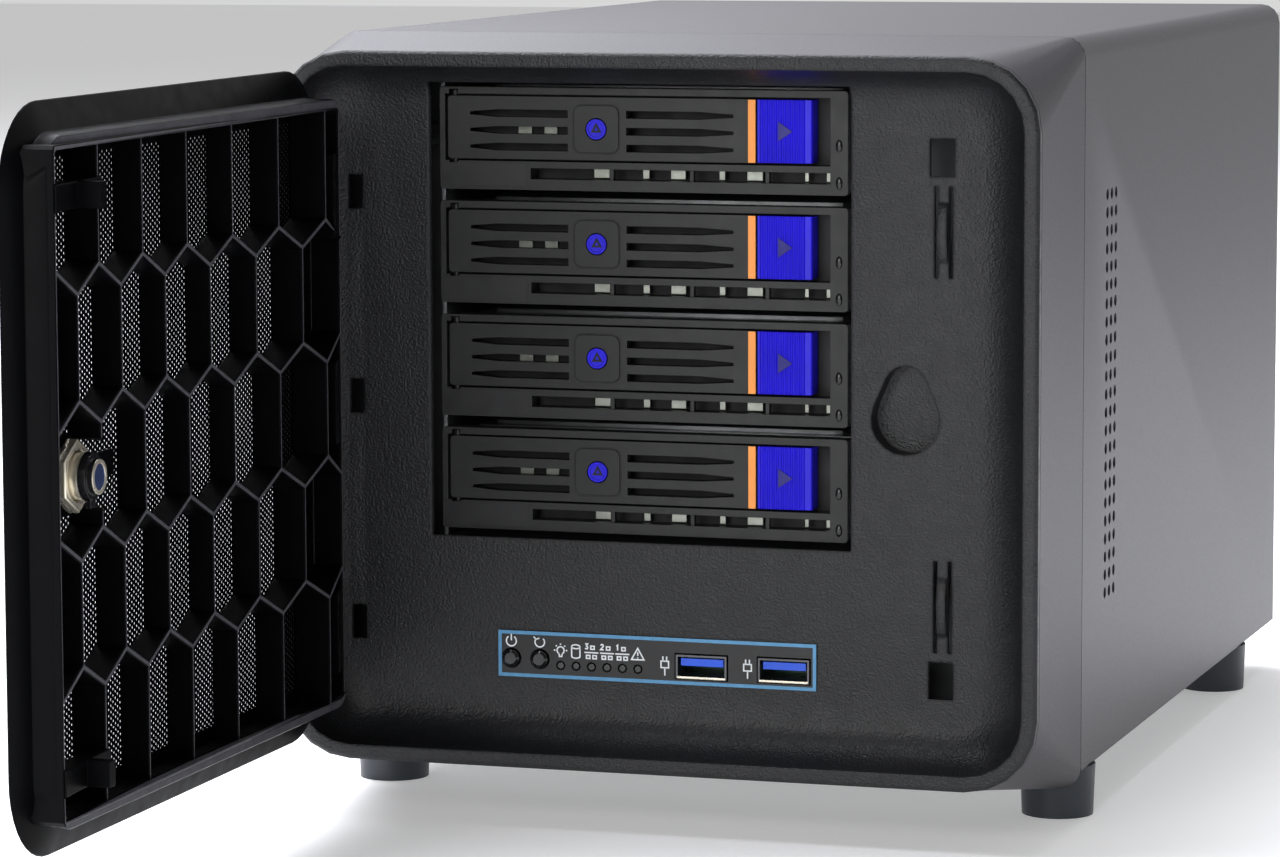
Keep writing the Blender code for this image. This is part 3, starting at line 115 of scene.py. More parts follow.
def material(name, color, roughness, metallic=0.0, blotch=0.012, tint=0.12, spread=0.06,
             grains=((0.0006, 0.00003),), edge=0.0003, sockets=()):
    """A surface with uneven colour and roughness, fine grain and slightly rounded edges.

    grains holds (size, height) pairs for the bumps, from coarse to fine.
    """
    mat = bpy.data.materials.new(name)
    mat.use_nodes = True
    tree = mat.node_tree
    shader = tree.nodes["Principled BSDF"]
    place = add_node(tree, "ShaderNodeTexCoord").outputs["Object"]
    cloud = scaled_noise(tree, place, blotch)
    mix = add_node(tree, "ShaderNodeMix", data_type="RGBA")
    mix.inputs[6].default_value = shade(color, 1.0 - tint)
    mix.inputs[7].default_value = shade(color, 1.0 + tint)
    tree.links.new(remap(tree, cloud, 0.0, 1.0), mix.inputs[0])
    tree.links.new(mix.outputs[2], shader.inputs["Base Color"])
    smear = scaled_noise(tree, place, blotch * 0.4, 5.0)
    rough = remap(tree, smear, max(0.03, roughness - spread), min(1.0, roughness + spread))
    tree.links.new(rough, shader.inputs["Roughness"])
    shader.inputs["Metallic"].default_value = metallic
    normal = add_node(tree, "ShaderNodeBevel", {"Radius": edge}, samples=4).outputs["Normal"]
    for size, height in grains:
        grain = scaled_noise(tree, place, size, 2.0)
        normal = add_node(
            tree,
            "ShaderNodeBump",
            {"Height": grain, "Distance": height, "Strength": 1.0, "Normal": normal},
        ).outputs["Normal"]
    tree.links.new(normal, shader.inputs["Normal"])
    for key, value in dict(sockets).items():
        shader.inputs[key].default_value = value
    return mat


FINISHES = {
    "paint": material(
        "graphite_paint", (0.034, 0.032, 0.041), 0.44, metallic=0.3, blotch=0.0016, tint=0.035,
        spread=0.03, grains=((0.0009, 0.000006), (0.00035, 0.000006)), edge=0.0006,
    ),
    "bezel": material(
        "textured_black_plastic", (0.0105, 0.011, 0.0125), 0.4, tint=0.1,
        grains=((0.0012, 0.00014), (0.0006, 0.00017)), edge=0.0012,
        sockets=(("Specular IOR Level", 0.38),),
    ),
    "door": material(
        "satin_black_plastic", (0.0022, 0.0023, 0.0028), 0.36, tint=0.1,
        grains=((0.0004, 0.000006),), edge=0.0004, sockets=(("Specular IOR Level", 0.05),),
    ),
    # Lighter black plastic for the ribs' inner edges and the door's inner frame edge: a painted
    # highlight.
    "crest": material(
        "painted_highlight_black_plastic", (0.09, 0.09, 0.1), 0.4, tint=0.15, blotch=0.004,
        grains=((0.0004, 0.000006),), edge=0.0003, sockets=(("Specular IOR Level", 0.2),),
    ),
    "tray": material(
        "grey_black_plastic", (0.014, 0.0145, 0.014), 0.42, tint=0.06,
        grains=((0.0005, 0.00001),), edge=0.00025, sockets=(("Specular IOR Level", 0.35),),
    ),
    # Near black for grooves, sunk marks, socket openings and the room behind the tray slots: painted
    # shade.
    "painted_shade": material(
        "painted_shade_black", (0.0015, 0.0015, 0.0018), 0.6, tint=0.1,
        grains=((0.0006, 0.000005),), edge=0.0001,
    ),
    "blue": material(
        "blue_plastic", (0.012, 0.004, 0.62), 0.36, tint=0.08,
        grains=((0.0006, 0.000005),), edge=0.0002, sockets=(("Specular IOR Level", 0.3),),
    ),
    # The same blue plastic, darker for the flat arrow that catches no highlight: painted shade.
    "painted_shade_blue": material(
        "painted_shade_blue_plastic", (0.005, 0.002, 0.17), 0.5, tint=0.08,
        grains=((0.0006, 0.000005),), edge=0.0001,
    ),
    "outline": material(
        "printed_blue", (0.09, 0.29, 0.52), 0.45, tint=0.08, blotch=0.002,
        grains=((0.0005, 0.000004),), edge=0.00005,
    ),
    "print": material(
        "printed_white", (0.8, 0.83, 0.86), 0.5, tint=0.06, blotch=0.002,
        grains=((0.0005, 0.000004),), edge=0.00005,
    ),
    "finger": material(
        "pale_spring_metal", (0.36, 0.38, 0.33), 0.35, metallic=0.5, tint=0.14, blotch=0.003,
        grains=((0.001, 0.00001),), edge=0.0001,
    ),
    "orange": material(
        "orange_plastic", (0.93, 0.33, 0.06), 0.45, tint=0.06,
        grains=((0.0006, 0.000005),), edge=0.00015,
    ),
    "socket_blue": material(
        "socket_blue_plastic", (0.006, 0.09, 0.75), 0.35, tint=0.08,
        grains=((0.0006, 0.000004),), edge=0.0001,
    ),
    "shell": material(
        "shaded_socket_steel", (0.1, 0.1, 0.105), 0.3, metallic=0.9, tint=0.1,
        grains=((0.001, 0.000006),), edge=0.0001,
    ),
    "gloss": material(
        "gloss_black_plastic", (0.01, 0.01, 0.011), 0.16, tint=0.1, spread=0.04,
        grains=((0.002, 0.000004),), edge=0.0002,
    ),
    "foot": material(
        "slate_foot_plastic", (0.024, 0.031, 0.041), 0.42, tint=0.12,
        grains=((0.0012, 0.00003),), edge=0.0005,
    ),
    "steel": material(
        "galvanised_steel", (0.34, 0.35, 0.36), 0.4, metallic=1.0, tint=0.06,
        grains=((0.002, 0.00001),), edge=0.0002,
    ),
    "nickel": material(
        "plated_nickel", (0.84, 0.78, 0.64), 0.22, metallic=0.7, tint=0.06,
        grains=((0.0015, 0.000001),), edge=0.00035,
    ),
    "board": material(
        "green_board", (0.012, 0.09, 0.035), 0.4, tint=0.25, blotch=0.004,
        grains=((0.0015, 0.00005),), edge=0.0001,
    ),
    "label": material(
        "black_film", (0.0065, 0.0068, 0.0075), 0.4, tint=0.06,
        grains=((0.0007, 0.00001),), edge=0.0001,
    ),
    "guide": material(
        "smoked_light_guide", (0.03, 0.032, 0.03), 0.25, tint=0.1,
        grains=((0.001, 0.00001),), edge=0.0002,
    ),
    "blued": material(
        "blued_steel", (0.07, 0.11, 0.26), 0.2, metallic=0.6, tint=0.1,
        grains=((0.001, 0.000002),), edge=0.0002,
    ),
    "casting": material(
        "drive_casting", (0.36, 0.37, 0.38), 0.4, metallic=0.9, tint=0.12,
        grains=((0.002, 0.00003),), edge=0.0003,
    ),
}


def mark_plane(name, axis, at, half, color):
    """Mixes a colour into a finish close to a plane, such as a joint."""
    tree = FINISHES[name].node_tree
    shader = tree.nodes["Principled BSDF"]
    base = shader.inputs["Base Color"].links[0].from_socket
    place = add_node(tree, "ShaderNodeTexCoord").outputs["Object"]
    parts = add_node(tree, "ShaderNodeSeparateXYZ", {0: place})
    away = add_node(tree, "ShaderNodeMath", {0: parts.outputs[axis], 1: at}, operation="SUBTRACT")
    distance = add_node(tree, "ShaderNodeMath", {0: away.outputs[0]}, operation="ABSOLUTE")
    share = remap(tree, distance.outputs[0], 0.0, 1.0, half * 0.7, half * 1.3)
    mix = add_node(tree, "ShaderNodeMix", data_type="RGBA")
    mix.inputs[6].default_value = color
    tree.links.new(share, mix.inputs[0])
    tree.links.new(base, mix.inputs[7])
    tree.links.new(mix.outputs[2], shader.inputs["Base Color"])


SEAM_Y = -131.2 * MM
SEAM_HALF = 0.6 * MM
mark_plane("paint", "Y", SEAM_Y, SEAM_HALF, (0.006, 0.006, 0.007, 1.0))

HOLE_PITCH = 1.5 * MM
HOLE_RADIUS = 0.38 * MM
HOLE_HAZE = 0.3


def lattice_distance(tree, place, cell, offset):
    """The distance on Y and Z to the nearest point of a rectangular lattice."""
    shift = [c * offset for c in cell]
    moved = add_node(
        tree, "ShaderNodeVectorMath", {0: place, 1: shift}, operation="ADD"
    ).outputs[0]
    scaled = add_node(
        tree, "ShaderNodeVectorMath", {0: moved, 1: cell}, operation="DIVIDE"
    ).outputs[0]
    part = add_node(
        tree, "ShaderNodeVectorMath", {0: scaled}, operation="FRACTION"
    ).outputs[0]
    centred = add_node(
        tree, "ShaderNodeVectorMath", {0: part, 1: (0.5, 0.5, 0.5)}, operation="SUBTRACT"
    ).outputs[0]
    flat = add_node(
        tree, "ShaderNodeVectorMath", {0: centred, 1: (0.0, cell[1], cell[2])},
        operation="MULTIPLY",
    ).outputs[0]
    return add_node(
        tree, "ShaderNodeVectorMath", {0: flat}, operation="LENGTH"
    ).outputs["Value"]


def perforated_material(name, pitch, radius):
    """Thin black sheet with round holes in a staggered pattern, laid out on Y and Z."""
    mat = bpy.data.materials.new(name)
    mat.use_nodes = True
    tree = mat.node_tree
    shader = tree.nodes["Principled BSDF"]
    shader.inputs["Base Color"].default_value = (0.002, 0.002, 0.0025, 1.0)
    shader.inputs["Specular IOR Level"].default_value = 0.015
    place = add_node(tree, "ShaderNodeTexCoord").outputs["Object"]
    cell = (1.0, pitch * math.sqrt(3), pitch)
    distances = [lattice_distance(tree, place, cell, offset) for offset in (0.0, 0.5)]
    nearest = add_node(
        tree, "ShaderNodeMath", {0: distances[0], 1: distances[1]}, operation="MINIMUM"
    ).outputs[0]
    alpha = add_node(
        tree, "ShaderNodeMapRange",
        {
            "Value": nearest, "From Min": radius * 0.92, "From Max": radius * 1.08,
            "To Min": HOLE_HAZE, "To Max": 1.0,
        },
    ).outputs["Result"]
    tree.links.new(alpha, shader.inputs["Alpha"])
    smear = scaled_noise(tree, place, 0.006)
    tree.links.new(remap(tree, smear, 0.3, 0.45), shader.inputs["Roughness"])
    return mat


FINISHES["perforated"] = perforated_material("perforated_black_sheet", HOLE_PITCH, HOLE_RADIUS)

NODE_FINISH = {
    "outer_cover": "paint",
    "bezel_ring": "paint",
    "base_plate": "steel",
    "front_bezel": "bezel",
    "door_frame": "door",
    "door_mesh": "door",
    "tray_frame": "tray",
    "latch_lever": "tray",
    "release_button": "blue",
    "lock_dial": "blue",
    "usb_tongue": "socket_blue",
    "usb_shell": "shell",
    "power_button": "gloss",
    "reset_button": "gloss",
    "power_inlet": "gloss",
    "lock_plug": "gloss",
    "lock_barrel": "nickel",
    "lock_nut": "nickel",
    "foot": "foot",
    "thumb_screw": "steel",
    "control_label": "label",
    "status_light_guide": "guide",
    "rear_fan": "door",
    "io_shield": "steel",
    "rear_panel": "steel",
    "front_sheet": "steel",
    "drive_cage": "steel",
    "cage_shelf": "steel",
    "power_supply": "steel",
    "hard_drive": "casting",
    "cpu_heatsink": "casting",
    "backplane": "board",
    "motherboard": "board",
    "memory_module": "board",
    "front_io_board": "board",
}


# Smoothing


def smoothing_tree(angle):
    """A node tree that joins split corners and shades smoothly up to an angle."""
    tree = bpy.data.node_groups.new("smooth_by_angle", "GeometryNodeTree")
    tree.interface.new_socket("Geometry", in_out="INPUT", socket_type="NodeSocketGeometry")
    tree.interface.new_socket("Geometry", in_out="OUTPUT", socket_type="NodeSocketGeometry")
    start = add_node(tree, "NodeGroupInput")
    merged = add_node(
        tree, "GeometryNodeMergeByDistance",
        {"Geometry": start.outputs[0], "Distance": WELD_DISTANCE},
    )
    faces = add_node(
        tree, "GeometryNodeSetShadeSmooth",
        {"Geometry": merged.outputs[0], "Shade Smooth": True}, domain="FACE",
    )
    bend = add_node(tree, "GeometryNodeInputMeshEdgeAngle")
    steep = add_node(
        tree, "FunctionNodeCompare", {"A": bend.outputs[0], "B": angle}, operation="GREATER_THAN",
    )
    edges = add_node(
        tree, "GeometryNodeSetShadeSmooth",
        {"Geometry": faces.outputs[0], "Selection": steep.outputs[0], "Shade Smooth": False},
        domain="EDGE",
    )
    end = add_node(tree, "NodeGroupOutput")
    tree.links.new(edges.outputs[0], end.inputs[0])
    return tree


SMOOTHING = smoothing_tree(SMOOTH_ANGLE)


def smooth(obj):
    """Shades an object smoothly over its gentle bends."""
    obj.modifiers.new("smooth", "NODES").node_group = SMOOTHING


def dress_frame():
    """Every CAD node gets its finish and smooth shading."""
    for name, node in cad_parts.items():
        key = max((k for k in NODE_FINISH if name.startswith(k)), key=len)
        node.material_slots[0].material = FINISHES[NODE_FINISH[key]]
        smooth(node)


# Making pieces


def new_piece(name, mesh, finish, body, *stands_for):
    """A named piece that rides on a body, and may stand for CAD nodes.

    Faces marked 1 in the mesh get the lighter finish instead, a painted highlight.
    """
    obj = bpy.data.objects.new(name, mesh)
    bpy.context.scene.collection.objects.link(obj)
    obj.data.materials.append(FINISHES[finish])
    if any(face.material_index for face in mesh.polygons):
        obj.data.materials.append(FINISHES["crest"])
    smooth(obj)
    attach(obj, body)
    if stands_for:
        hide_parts(*stands_for)
    return obj


def mesh_from(name, bm):
    """A mesh from bmesh data, with its faces turned outwards."""
    bmesh.ops.recalc_face_normals(bm, faces=bm.faces)
    mesh = bpy.data.meshes.new(name)
    bm.to_mesh(mesh)
    bm.free()
    return mesh


def add_prism(bm, outline, front, back):
    """A closed prism between two Y planes over an outline of (x, z) points."""
    rings = [[bm.verts.new((x, y, z)) for x, z in outline] for y in (front, back)]
    bm.faces.new(rings[0])
    bm.faces.new(list(reversed(rings[1])))
    count = len(outline)
    for i in range(count):
        j = (i + 1) % count
        bm.faces.new((rings[0][i], rings[0][j], rings[1][j], rings[1][i]))


def add_box(bm, low, high):
    """A closed box between two corners."""
    outline = [(low[0], low[2]), (high[0], low[2]), (high[0], high[2]), (low[0], high[2])]
    add_prism(bm, outline, low[1], high[1])


def arc_points(centre, radius, start, end, steps):
    """Points along an arc, in degrees from +X towards +Z."""
    points = []
    for i in range(steps + 1):
        angle = math.radians(start + (end - start) * i / steps)
        points.append((centre[0] + radius * math.cos(angle), centre[1] + radius * math.sin(angle)))
    return points


def circle_points(centre, radius, steps=32):
    """A closed circle of points."""
    return arc_points(centre, radius, 0.0, 360.0, steps)[:-1]


def rounded_points(low, high, radius, steps=6):
    """A rectangle with round corners, as (x, z) points."""
    centres = [
        (high[0] - radius, high[1] - radius, 0.0),
        (low[0] + radius, high[1] - radius, 90.0),
        (low[0] + radius, low[1] + radius, 180.0),
        (high[0] - radius, low[1] + radius, 270.0),
    ]
    points = []
    for x, z, start in centres:
        points += arc_points((x, z), radius, start, start + 90.0, steps)
    return points


def side_step(before, here, after, half):
    """Where a stroke's edge passes a corner, half a width to its left."""
    a = (Vector(here) - Vector(before)).normalized()
    b = (Vector(after) - Vector(here)).normalized()
    normal = Vector((-a.y, a.x)) + Vector((-b.y, b.x))
    if normal.length < 0.01:
        normal = Vector((-a.y, a.x))
    normal.normalize()
    stretch = max(0.4, normal.dot(Vector((-a.y, a.x))))
    return Vector(here) + normal * half / stretch


def add_stroke(bm, points, width, front, back, closed=False):
    """A raised line of even width along (x, z) points."""
    count = len(points)
    half = width / 2
    edges = []
    for i, here in enumerate(points):
        before = points[i - 1] if i or closed else here
        after = points[(i + 1) % count] if i < count - 1 or closed else here
        if before == here:
            before = tuple(2 * h - a for h, a in zip(here, after))
        if after == here:
            after = tuple(2 * h - b for h, b in zip(here, before))
        left = side_step(before, here, after, half)
        right = side_step(before, here, after, -half)
        edges.append([bm.verts.new((p.x, y, p.y)) for y in (front, back) for p in (left, right)])
    for i in range(count if closed else count - 1):
        a = edges[i]
        b = edges[(i + 1) % count]
        bm.faces.new((a[0], b[0], b[1], a[1]))
        bm.faces.new((a[2], a[3], b[3], b[2]))
        bm.faces.new((a[0], a[2], b[2], b[0]))
        bm.faces.new((a[1], b[1], b[3], a[3]))
    if not closed:
        for end in (edges[0], edges[-1]):
            bm.faces.new((end[0], end[1], end[3], end[2]))


def box_corners(name):
    """The lowest and highest corners of a CAD node."""
    low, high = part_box(name)
    return Vector(low), Vector(high)


# Drive trays

RIB_COUNT = 10
RIB_STEPS = 6
RIB_HEIGHT = 0.5 * MM
STRIP_WIDTH = 1.9 * MM
STRIP_DEPTH = 0.5 * MM
FINGERS = ((-21.6, 4.0), (-8.6, 1.6), (-1.2, 3.8), (11.6, 1.4), (18.9, 4.0), (34.0, 0.9), (39.6, 2.4))
SLOT_RIBS = (-16.0, 5.2, 25.0)
DRIVE_GLINTS = ((-42.6, 3.6), (-35.6, 3.4))
LIGHT_X = 43.8
LIGHT_HEIGHTS = (3.1, 12.4)
ARROW_TIP = 9.2 * MM
ARROW_LENGTH = 3.7 * MM
ARROW_HALF = 2.5 * MM
SQUARE_HALF = 5.9 * MM
SQUARE_CORNER = 2.0 * MM
SQUARE_OPENING = 2.85 * MM
GROOVE_OFFSET = 0.25 * MM
GROOVE_CORNER = 2.2 * MM
GROOVE_WIDTH = 0.4 * MM
DIAL_RIM_WIDTH = 0.55 * MM
DIAL_MARK_RADIUS = 1.15 * MM
DIAL_MARK_WIDTH = 0.5 * MM


def ribbed_outline(low, high):
    """The button's section: a block whose front carries upright round ribs."""
    left = low.x + 0.5 * MM
    right = high.x - 1.7 * MM
    valley = low.y + RIB_HEIGHT
    points = [(low.x, high.y), (low.x, valley)]
    for rib in range(RIB_COUNT):
        start = left + (right - left) * rib / RIB_COUNT
        pitch = (right - left) / RIB_COUNT
        for step in range(RIB_STEPS + 1):
            share = step / RIB_STEPS
            rise = math.sin(math.pi * share) ** 0.8 if 0 < step < RIB_STEPS else 0.0
            points.append((start + pitch * (0.1 + 0.8 * share), valley - RIB_HEIGHT * rise))
    points += [(right + 0.2 * MM, valley), (high.x - 0.3 * MM, valley), (high.x, valley + 0.3 * MM)]
    points.append((high.x, high.y))
    return points


def release_button(number):
    """Blue button with upright ribs and a flat arrow head pointing right, in a darker blue of painted
    shade.
    """
    name = f"release_button_{number}"
    body = f"release_{number}"
    low, high = box_corners(name)
    bm = bmesh.new()
    rings = []
    for z in (low.z, high.z):
        rings.append([bm.verts.new((x, y, z)) for x, y in ribbed_outline(low, high)])
    bm.faces.new(rings[0])
    bm.faces.new(list(reversed(rings[1])))
    count = len(rings[0])
    for i in range(count):
        j = (i + 1) % count
        bm.faces.new((rings[0][i], rings[0][j], rings[1][j], rings[1][i]))
    new_piece(f"ribbed_button_{number}", mesh_from(name, bm), "blue", body, name)
    middle = (low.z + high.z) / 2
    tip = low.x + ARROW_TIP
    back = tip - ARROW_LENGTH
    arrow = [(back, middle - ARROW_HALF), (tip, middle), (back, middle + ARROW_HALF)]
    bm = bmesh.new()
    add_prism(bm, arrow, low.y - 0.05 * MM, low.y + RIB_HEIGHT)
    new_piece(f"button_arrow_{number}", mesh_from(name, bm), "painted_shade_blue", body)


def lever_trim(number):
    """Orange strip at the lever's free end, and the raised square round its dial, with a dark line of
    painted shade for its groove.
    """
    low, high = box_corners(f"latch_lever_{number}")
    body = f"lever_{number}"
    button_low, button_high = box_corners(f"release_button_{number}")
    bm = bmesh.new()
    add_box(
        bm,
        (high.x - STRIP_WIDTH, low.y - STRIP_DEPTH, button_low.z),
        (high.x, low.y - 0.02 * MM, button_high.z),
    )
    new_piece(f"orange_strip_{number}", mesh_from("strip", bm), "orange", body)
    dial_low, dial_high = box_corners(f"lock_dial_{number}")
    x = (dial_low.x + dial_high.x) / 2
    z = (dial_low.z + dial_high.z) / 2
    half = SQUARE_HALF
    bm = bmesh.new()
    outer = rounded_points((x - half, z - half), (x + half, z + half), SQUARE_CORNER)
    inner = circle_points((x, z), SQUARE_OPENING, len(outer))
    add_collar(bm, outer, inner, low.y - 0.35 * MM, low.y - 0.02 * MM)
    new_piece(f"dial_square_{number}", mesh_from("square", bm), "tray", body)
    # The groove round the square is a thin near-black line: painted shade.
    bm = bmesh.new()
    reach = half + GROOVE_OFFSET
    line = rounded_points((x - reach, z - reach), (x + reach, z + reach), GROOVE_CORNER)
    add_stroke(bm, line, GROOVE_WIDTH, low.y - 0.03 * MM, low.y - 0.01 * MM, closed=True)
    new_piece(f"dial_groove_{number}", mesh_from("painted_shade", bm), "painted_shade", body)


def add_collar(bm, outer, inner, front, back):
    """A plate between an outline and a hole with as many points."""
    start = min(range(len(inner)), key=lambda i: (Vector(inner[i]) - Vector(outer[0])).length)
    inner = inner[start:] + inner[:start]
    rings = []
    for line in (outer, inner):
        for y in (front, back):
            rings.append([bm.verts.new((x, y, z)) for x, z in line])
    count = len(outer)
    for i in range(count):
        j = (i + 1) % count
        for a, b in ((0, 2), (3, 1), (1, 0), (2, 3)):
            bm.faces.new((rings[a][i], rings[a][j], rings[b][j], rings[b][i]))


def lock_dial(number):
    """Blue dial with a rim and a three-sided mark, a thin dark line of painted shade for a sunk mark."""
    name = f"lock_dial_{number}"
    body = f"dial_{number}"
    low, high = box_corners(name)
    x = (low.x + high.x) / 2
    z = (low.z + high.z) / 2
    radius = (high.x - low.x) / 2
    bm = bmesh.new()
    add_prism(bm, circle_points((x, z), radius), low.y + 0.15 * MM, high.y)
    rim = circle_points((x, z), radius - 0.3 * MM)
    add_stroke(bm, rim, DIAL_RIM_WIDTH, low.y - 0.1 * MM, low.y + 0.2 * MM, closed=True)
    new_piece(f"rimmed_dial_{number}", mesh_from(name, bm), "blue", body, name)
    # The mark is a thin near-black line: painted shade.
    bm = bmesh.new()
    mark = arc_points((x, z), DIAL_MARK_RADIUS, 90.0, 330.0, 2)
    add_stroke(bm, mark, DIAL_MARK_WIDTH, low.y + 0.02 * MM, low.y + 0.16 * MM, closed=True)
    new_piece(f"dial_mark_{number}", mesh_from("mark", bm), "painted_shade", body)


def tray_box(bm, corner, x, z, depth):
    """A box at a tray, from ranges in millimetres: x, height over its corner, depth behind it."""
    add_box(
        bm, (x[0] * MM, corner.y + depth[0] * MM, corner.z + z[0] * MM),
        (x[1] * MM, corner.y + depth[1] * MM, corner.z + z[1] * MM),
    )


def tray_lights(number, corner):
    """Two small oval light pipes at the tray's right end."""
    bm = bmesh.new()
    for height in LIGHT_HEIGHTS:
        centre = Vector((LIGHT_X * MM, corner.y + 0.3 * MM, corner.z + height * MM))
        turn = Matrix.Translation(centre) @ Matrix.Diagonal((1.0, 0.75, 1.75, 1.0))
        bmesh.ops.create_uvsphere(bm, u_segments=20, v_segments=12, radius=1.0 * MM, matrix=turn)
    new_piece(f"tray_lights_{number}", mesh_from("lights", bm), "gloss", f"tray_{number}")


def tray_trim(number):
    """Label field, light pipes, slot ribs, bright spring fingers, and a dark plate of painted shade
    behind them.
    """
    corner = box_corners(f"tray_frame_{number}")[0]
    body = f"tray_{number}"
    bm = bmesh.new()
    tray_box(bm, corner, (-61.3, -38.8), (0.9, 6.8), (-0.06, -0.01))
    new_piece(f"tray_label_{number}", mesh_from("label", bm), "label", body)
    tray_lights(number, corner)
    bm = bmesh.new()
    for x in SLOT_RIBS:
        tray_box(bm, corner, (x - 0.5, x + 0.5), (2.5, 6.6), (0.5, 2.0))
    new_piece(f"slot_ribs_{number}", mesh_from("ribs", bm), "tray", body)
    bm = bmesh.new()
    for x, width in FINGERS:
        tray_box(bm, corner, (x, x + width), (3.2, 6.6), (3.6, 4.2))
    # Pale boxes for the bright bits seen through the upper slots: painted glints of the drive.
    for x, width in DRIVE_GLINTS:
        tray_box(bm, corner, (x, x + width), (13.9, 16.6), (5.6, 6.4))
    new_piece(f"spring_fingers_{number}", mesh_from("fingers", bm), "finger", body)
    # A near-black plate behind the slots and the right gap: painted shade.
    bm = bmesh.new()
    tray_box(bm, corner, (-60.9, 41.6), (2.6, 24.4), (6.6, 6.9))
    new_piece(f"painted_shade_backing_{number}", mesh_from("backing", bm), "painted_shade", body)


# Control strip

STROKE = 0.36 * MM
FRAME_WIDTH = 0.9 * MM
SIGN_SCALE = 1.12
PRINT_LIFT = 0.04 * MM
LIGHTS_X = (-28.5, -24.4, -20.3, -16.1, -12.0, -7.8)
SIGN_Z = 30.1
POWER_SIGN_AT = (-41.8, 32.1)
RESTART_SIGN_AT = (-34.1, 32.1)
PLUG_SIGNS_AT = ((-0.6, 27.6), (21.3, 27.8))


def scaled(points, centre):
    """Points in millimetres about a centre, in metres."""
    reach = SIGN_SCALE * MM
    return [(centre[0] * MM + x * reach, centre[1] * MM + z * reach) for x, z in points]


def power_sign(centre):
    """A broken ring with an upright bar."""
    return [
        (scaled(arc_points((0.0, 0.0), 1.2, 125.0, 415.0, 18), centre), False),
        (scaled([(0.0, 0.1), (0.0, 1.6)], centre), False),
    ]


def restart_sign(centre):
    """A broken ring with a short tail."""
    return [
        (scaled(arc_points((0.0, 0.0), 1.15, 145.0, 405.0, 16), centre), False),
        (scaled([(-1.5, 1.2), (-0.9, 0.6), (-0.1, 0.9)], centre), False),
    ]


def lamp_sign(centre):
    """A bulb with rays."""
    strokes = [(scaled(arc_points((0.0, 0.1), 0.85, -60.0, 240.0, 14), centre), False)]
    strokes.append((scaled([(-0.35, -0.7), (-0.3, -1.3), (0.3, -1.3), (0.35, -0.7)], centre), False))
    for angle in (0.0, 45.0, 90.0, 135.0, 180.0):
        way = (math.cos(math.radians(angle)), math.sin(math.radians(angle)))
        ray = [(way[0] * r, 0.1 + way[1] * r) for r in (1.25, 1.6)]
        strokes.append((scaled(ray, centre), False))
    return strokes


def drum_sign(centre):
    """A drum for the drives."""
    top = [(1.0 * x, 1.1 + 0.45 * z) for x, z in circle_points((0.0, 0.0), 1.0, 16)]
    side = [(-1.0, 1.1), (-1.0, -1.1)]
    side += [(x, -1.1 + 0.45 * z) for x, z in arc_points((0.0, 0.0), 1.0, 200.0, 340.0, 6)]
    side += [(1.0, -1.1), (1.0, 1.1)]
    return [(scaled(top, centre), True), (scaled(side, centre), False)]


DIGITS = {
    1: [[(-0.25, 0.35), (0.05, 0.6), (0.05, -0.6)]],
    2: [[(-0.35, 0.35), (-0.1, 0.62), (0.25, 0.5), (0.3, 0.2), (-0.35, -0.6), (0.38, -0.6)]],
    3: [[(-0.3, 0.6), (0.3, 0.6), (0.0, 0.1), (0.3, -0.15), (0.2, -0.55), (-0.35, -0.5)]],
}


def network_sign(centre, digit):
    """Three linked squares and a numeral."""
    strokes = []
    for x, z in ((0.35, 1.05), (-0.7, -1.1), (0.85, -1.1)):
        square = [(x - 0.42, z - 0.36), (x + 0.42, z - 0.36), (x + 0.42, z + 0.36), (x - 0.42, z + 0.36)]
        strokes.append((scaled(square, centre), True))
    strokes.append((scaled([(-1.6, -0.1), (1.75, -0.1)], centre), False))
    for line in DIGITS[digit]:
        strokes.append((scaled([(x - 1.1, z + 1.3) for x, z in line], centre), False))
    return strokes


def warning_sign(centre):
    """A triangle with an upright bar and a dot."""
    return [
        (scaled([(-1.5, -1.2), (1.5, -1.2), (0.0, 1.4)], centre), True),
        (scaled([(0.0, 0.55), (0.0, -0.35)], centre), False),
        (scaled([(0.0, -0.65), (0.0, -0.9)], centre), False),
    ]


def plug_sign(centre):
    """A plain plug: a body with two pins and a lead."""
    body = [(-0.9, -0.5), (0.9, -0.5), (0.9, 1.0), (-0.9, 1.0)]
    return [
        (scaled(body, centre), True),
        (scaled([(-0.45, 1.0), (-0.45, 2.1)], centre), False),
        (scaled([(0.45, 1.0), (0.45, 2.1)], centre), False),
        (scaled([(0.0, -0.5), (0.0, -2.3)], centre), False),
    ]


def control_print():
    """The blue outline and the white signs printed on the control strip."""
    low, high = box_corners("control_label")
    front = low.y - PRINT_LIFT
    half = FRAME_WIDTH / 2
    line = [
        (low.x + half, low.z + half), (high.x - half, low.z + half),
        (high.x - half, high.z - half), (low.x + half, high.z - half),
    ]
    bm = bmesh.new()
    add_stroke(bm, line, FRAME_WIDTH, front, low.y - PRINT_LIFT / 4, closed=True)
    new_piece("control_outline", mesh_from("outline", bm), "outline", "chassis")
    signs = power_sign(POWER_SIGN_AT) + restart_sign(RESTART_SIGN_AT)
    signs += lamp_sign((LIGHTS_X[0], SIGN_Z)) + drum_sign((LIGHTS_X[1], SIGN_Z))
    for x, digit in zip(LIGHTS_X[2:5], (3, 2, 1)):
        signs += network_sign((x, SIGN_Z), digit)
    signs += warning_sign((LIGHTS_X[5], SIGN_Z))
    for centre in PLUG_SIGNS_AT:
        signs += plug_sign(centre)
    bm = bmesh.new()
    for points, closed in signs:
        add_stroke(bm, points, STROKE, front, low.y - PRINT_LIFT / 4, closed)
    new_piece("control_signs", mesh_from("signs", bm), "print", "chassis")


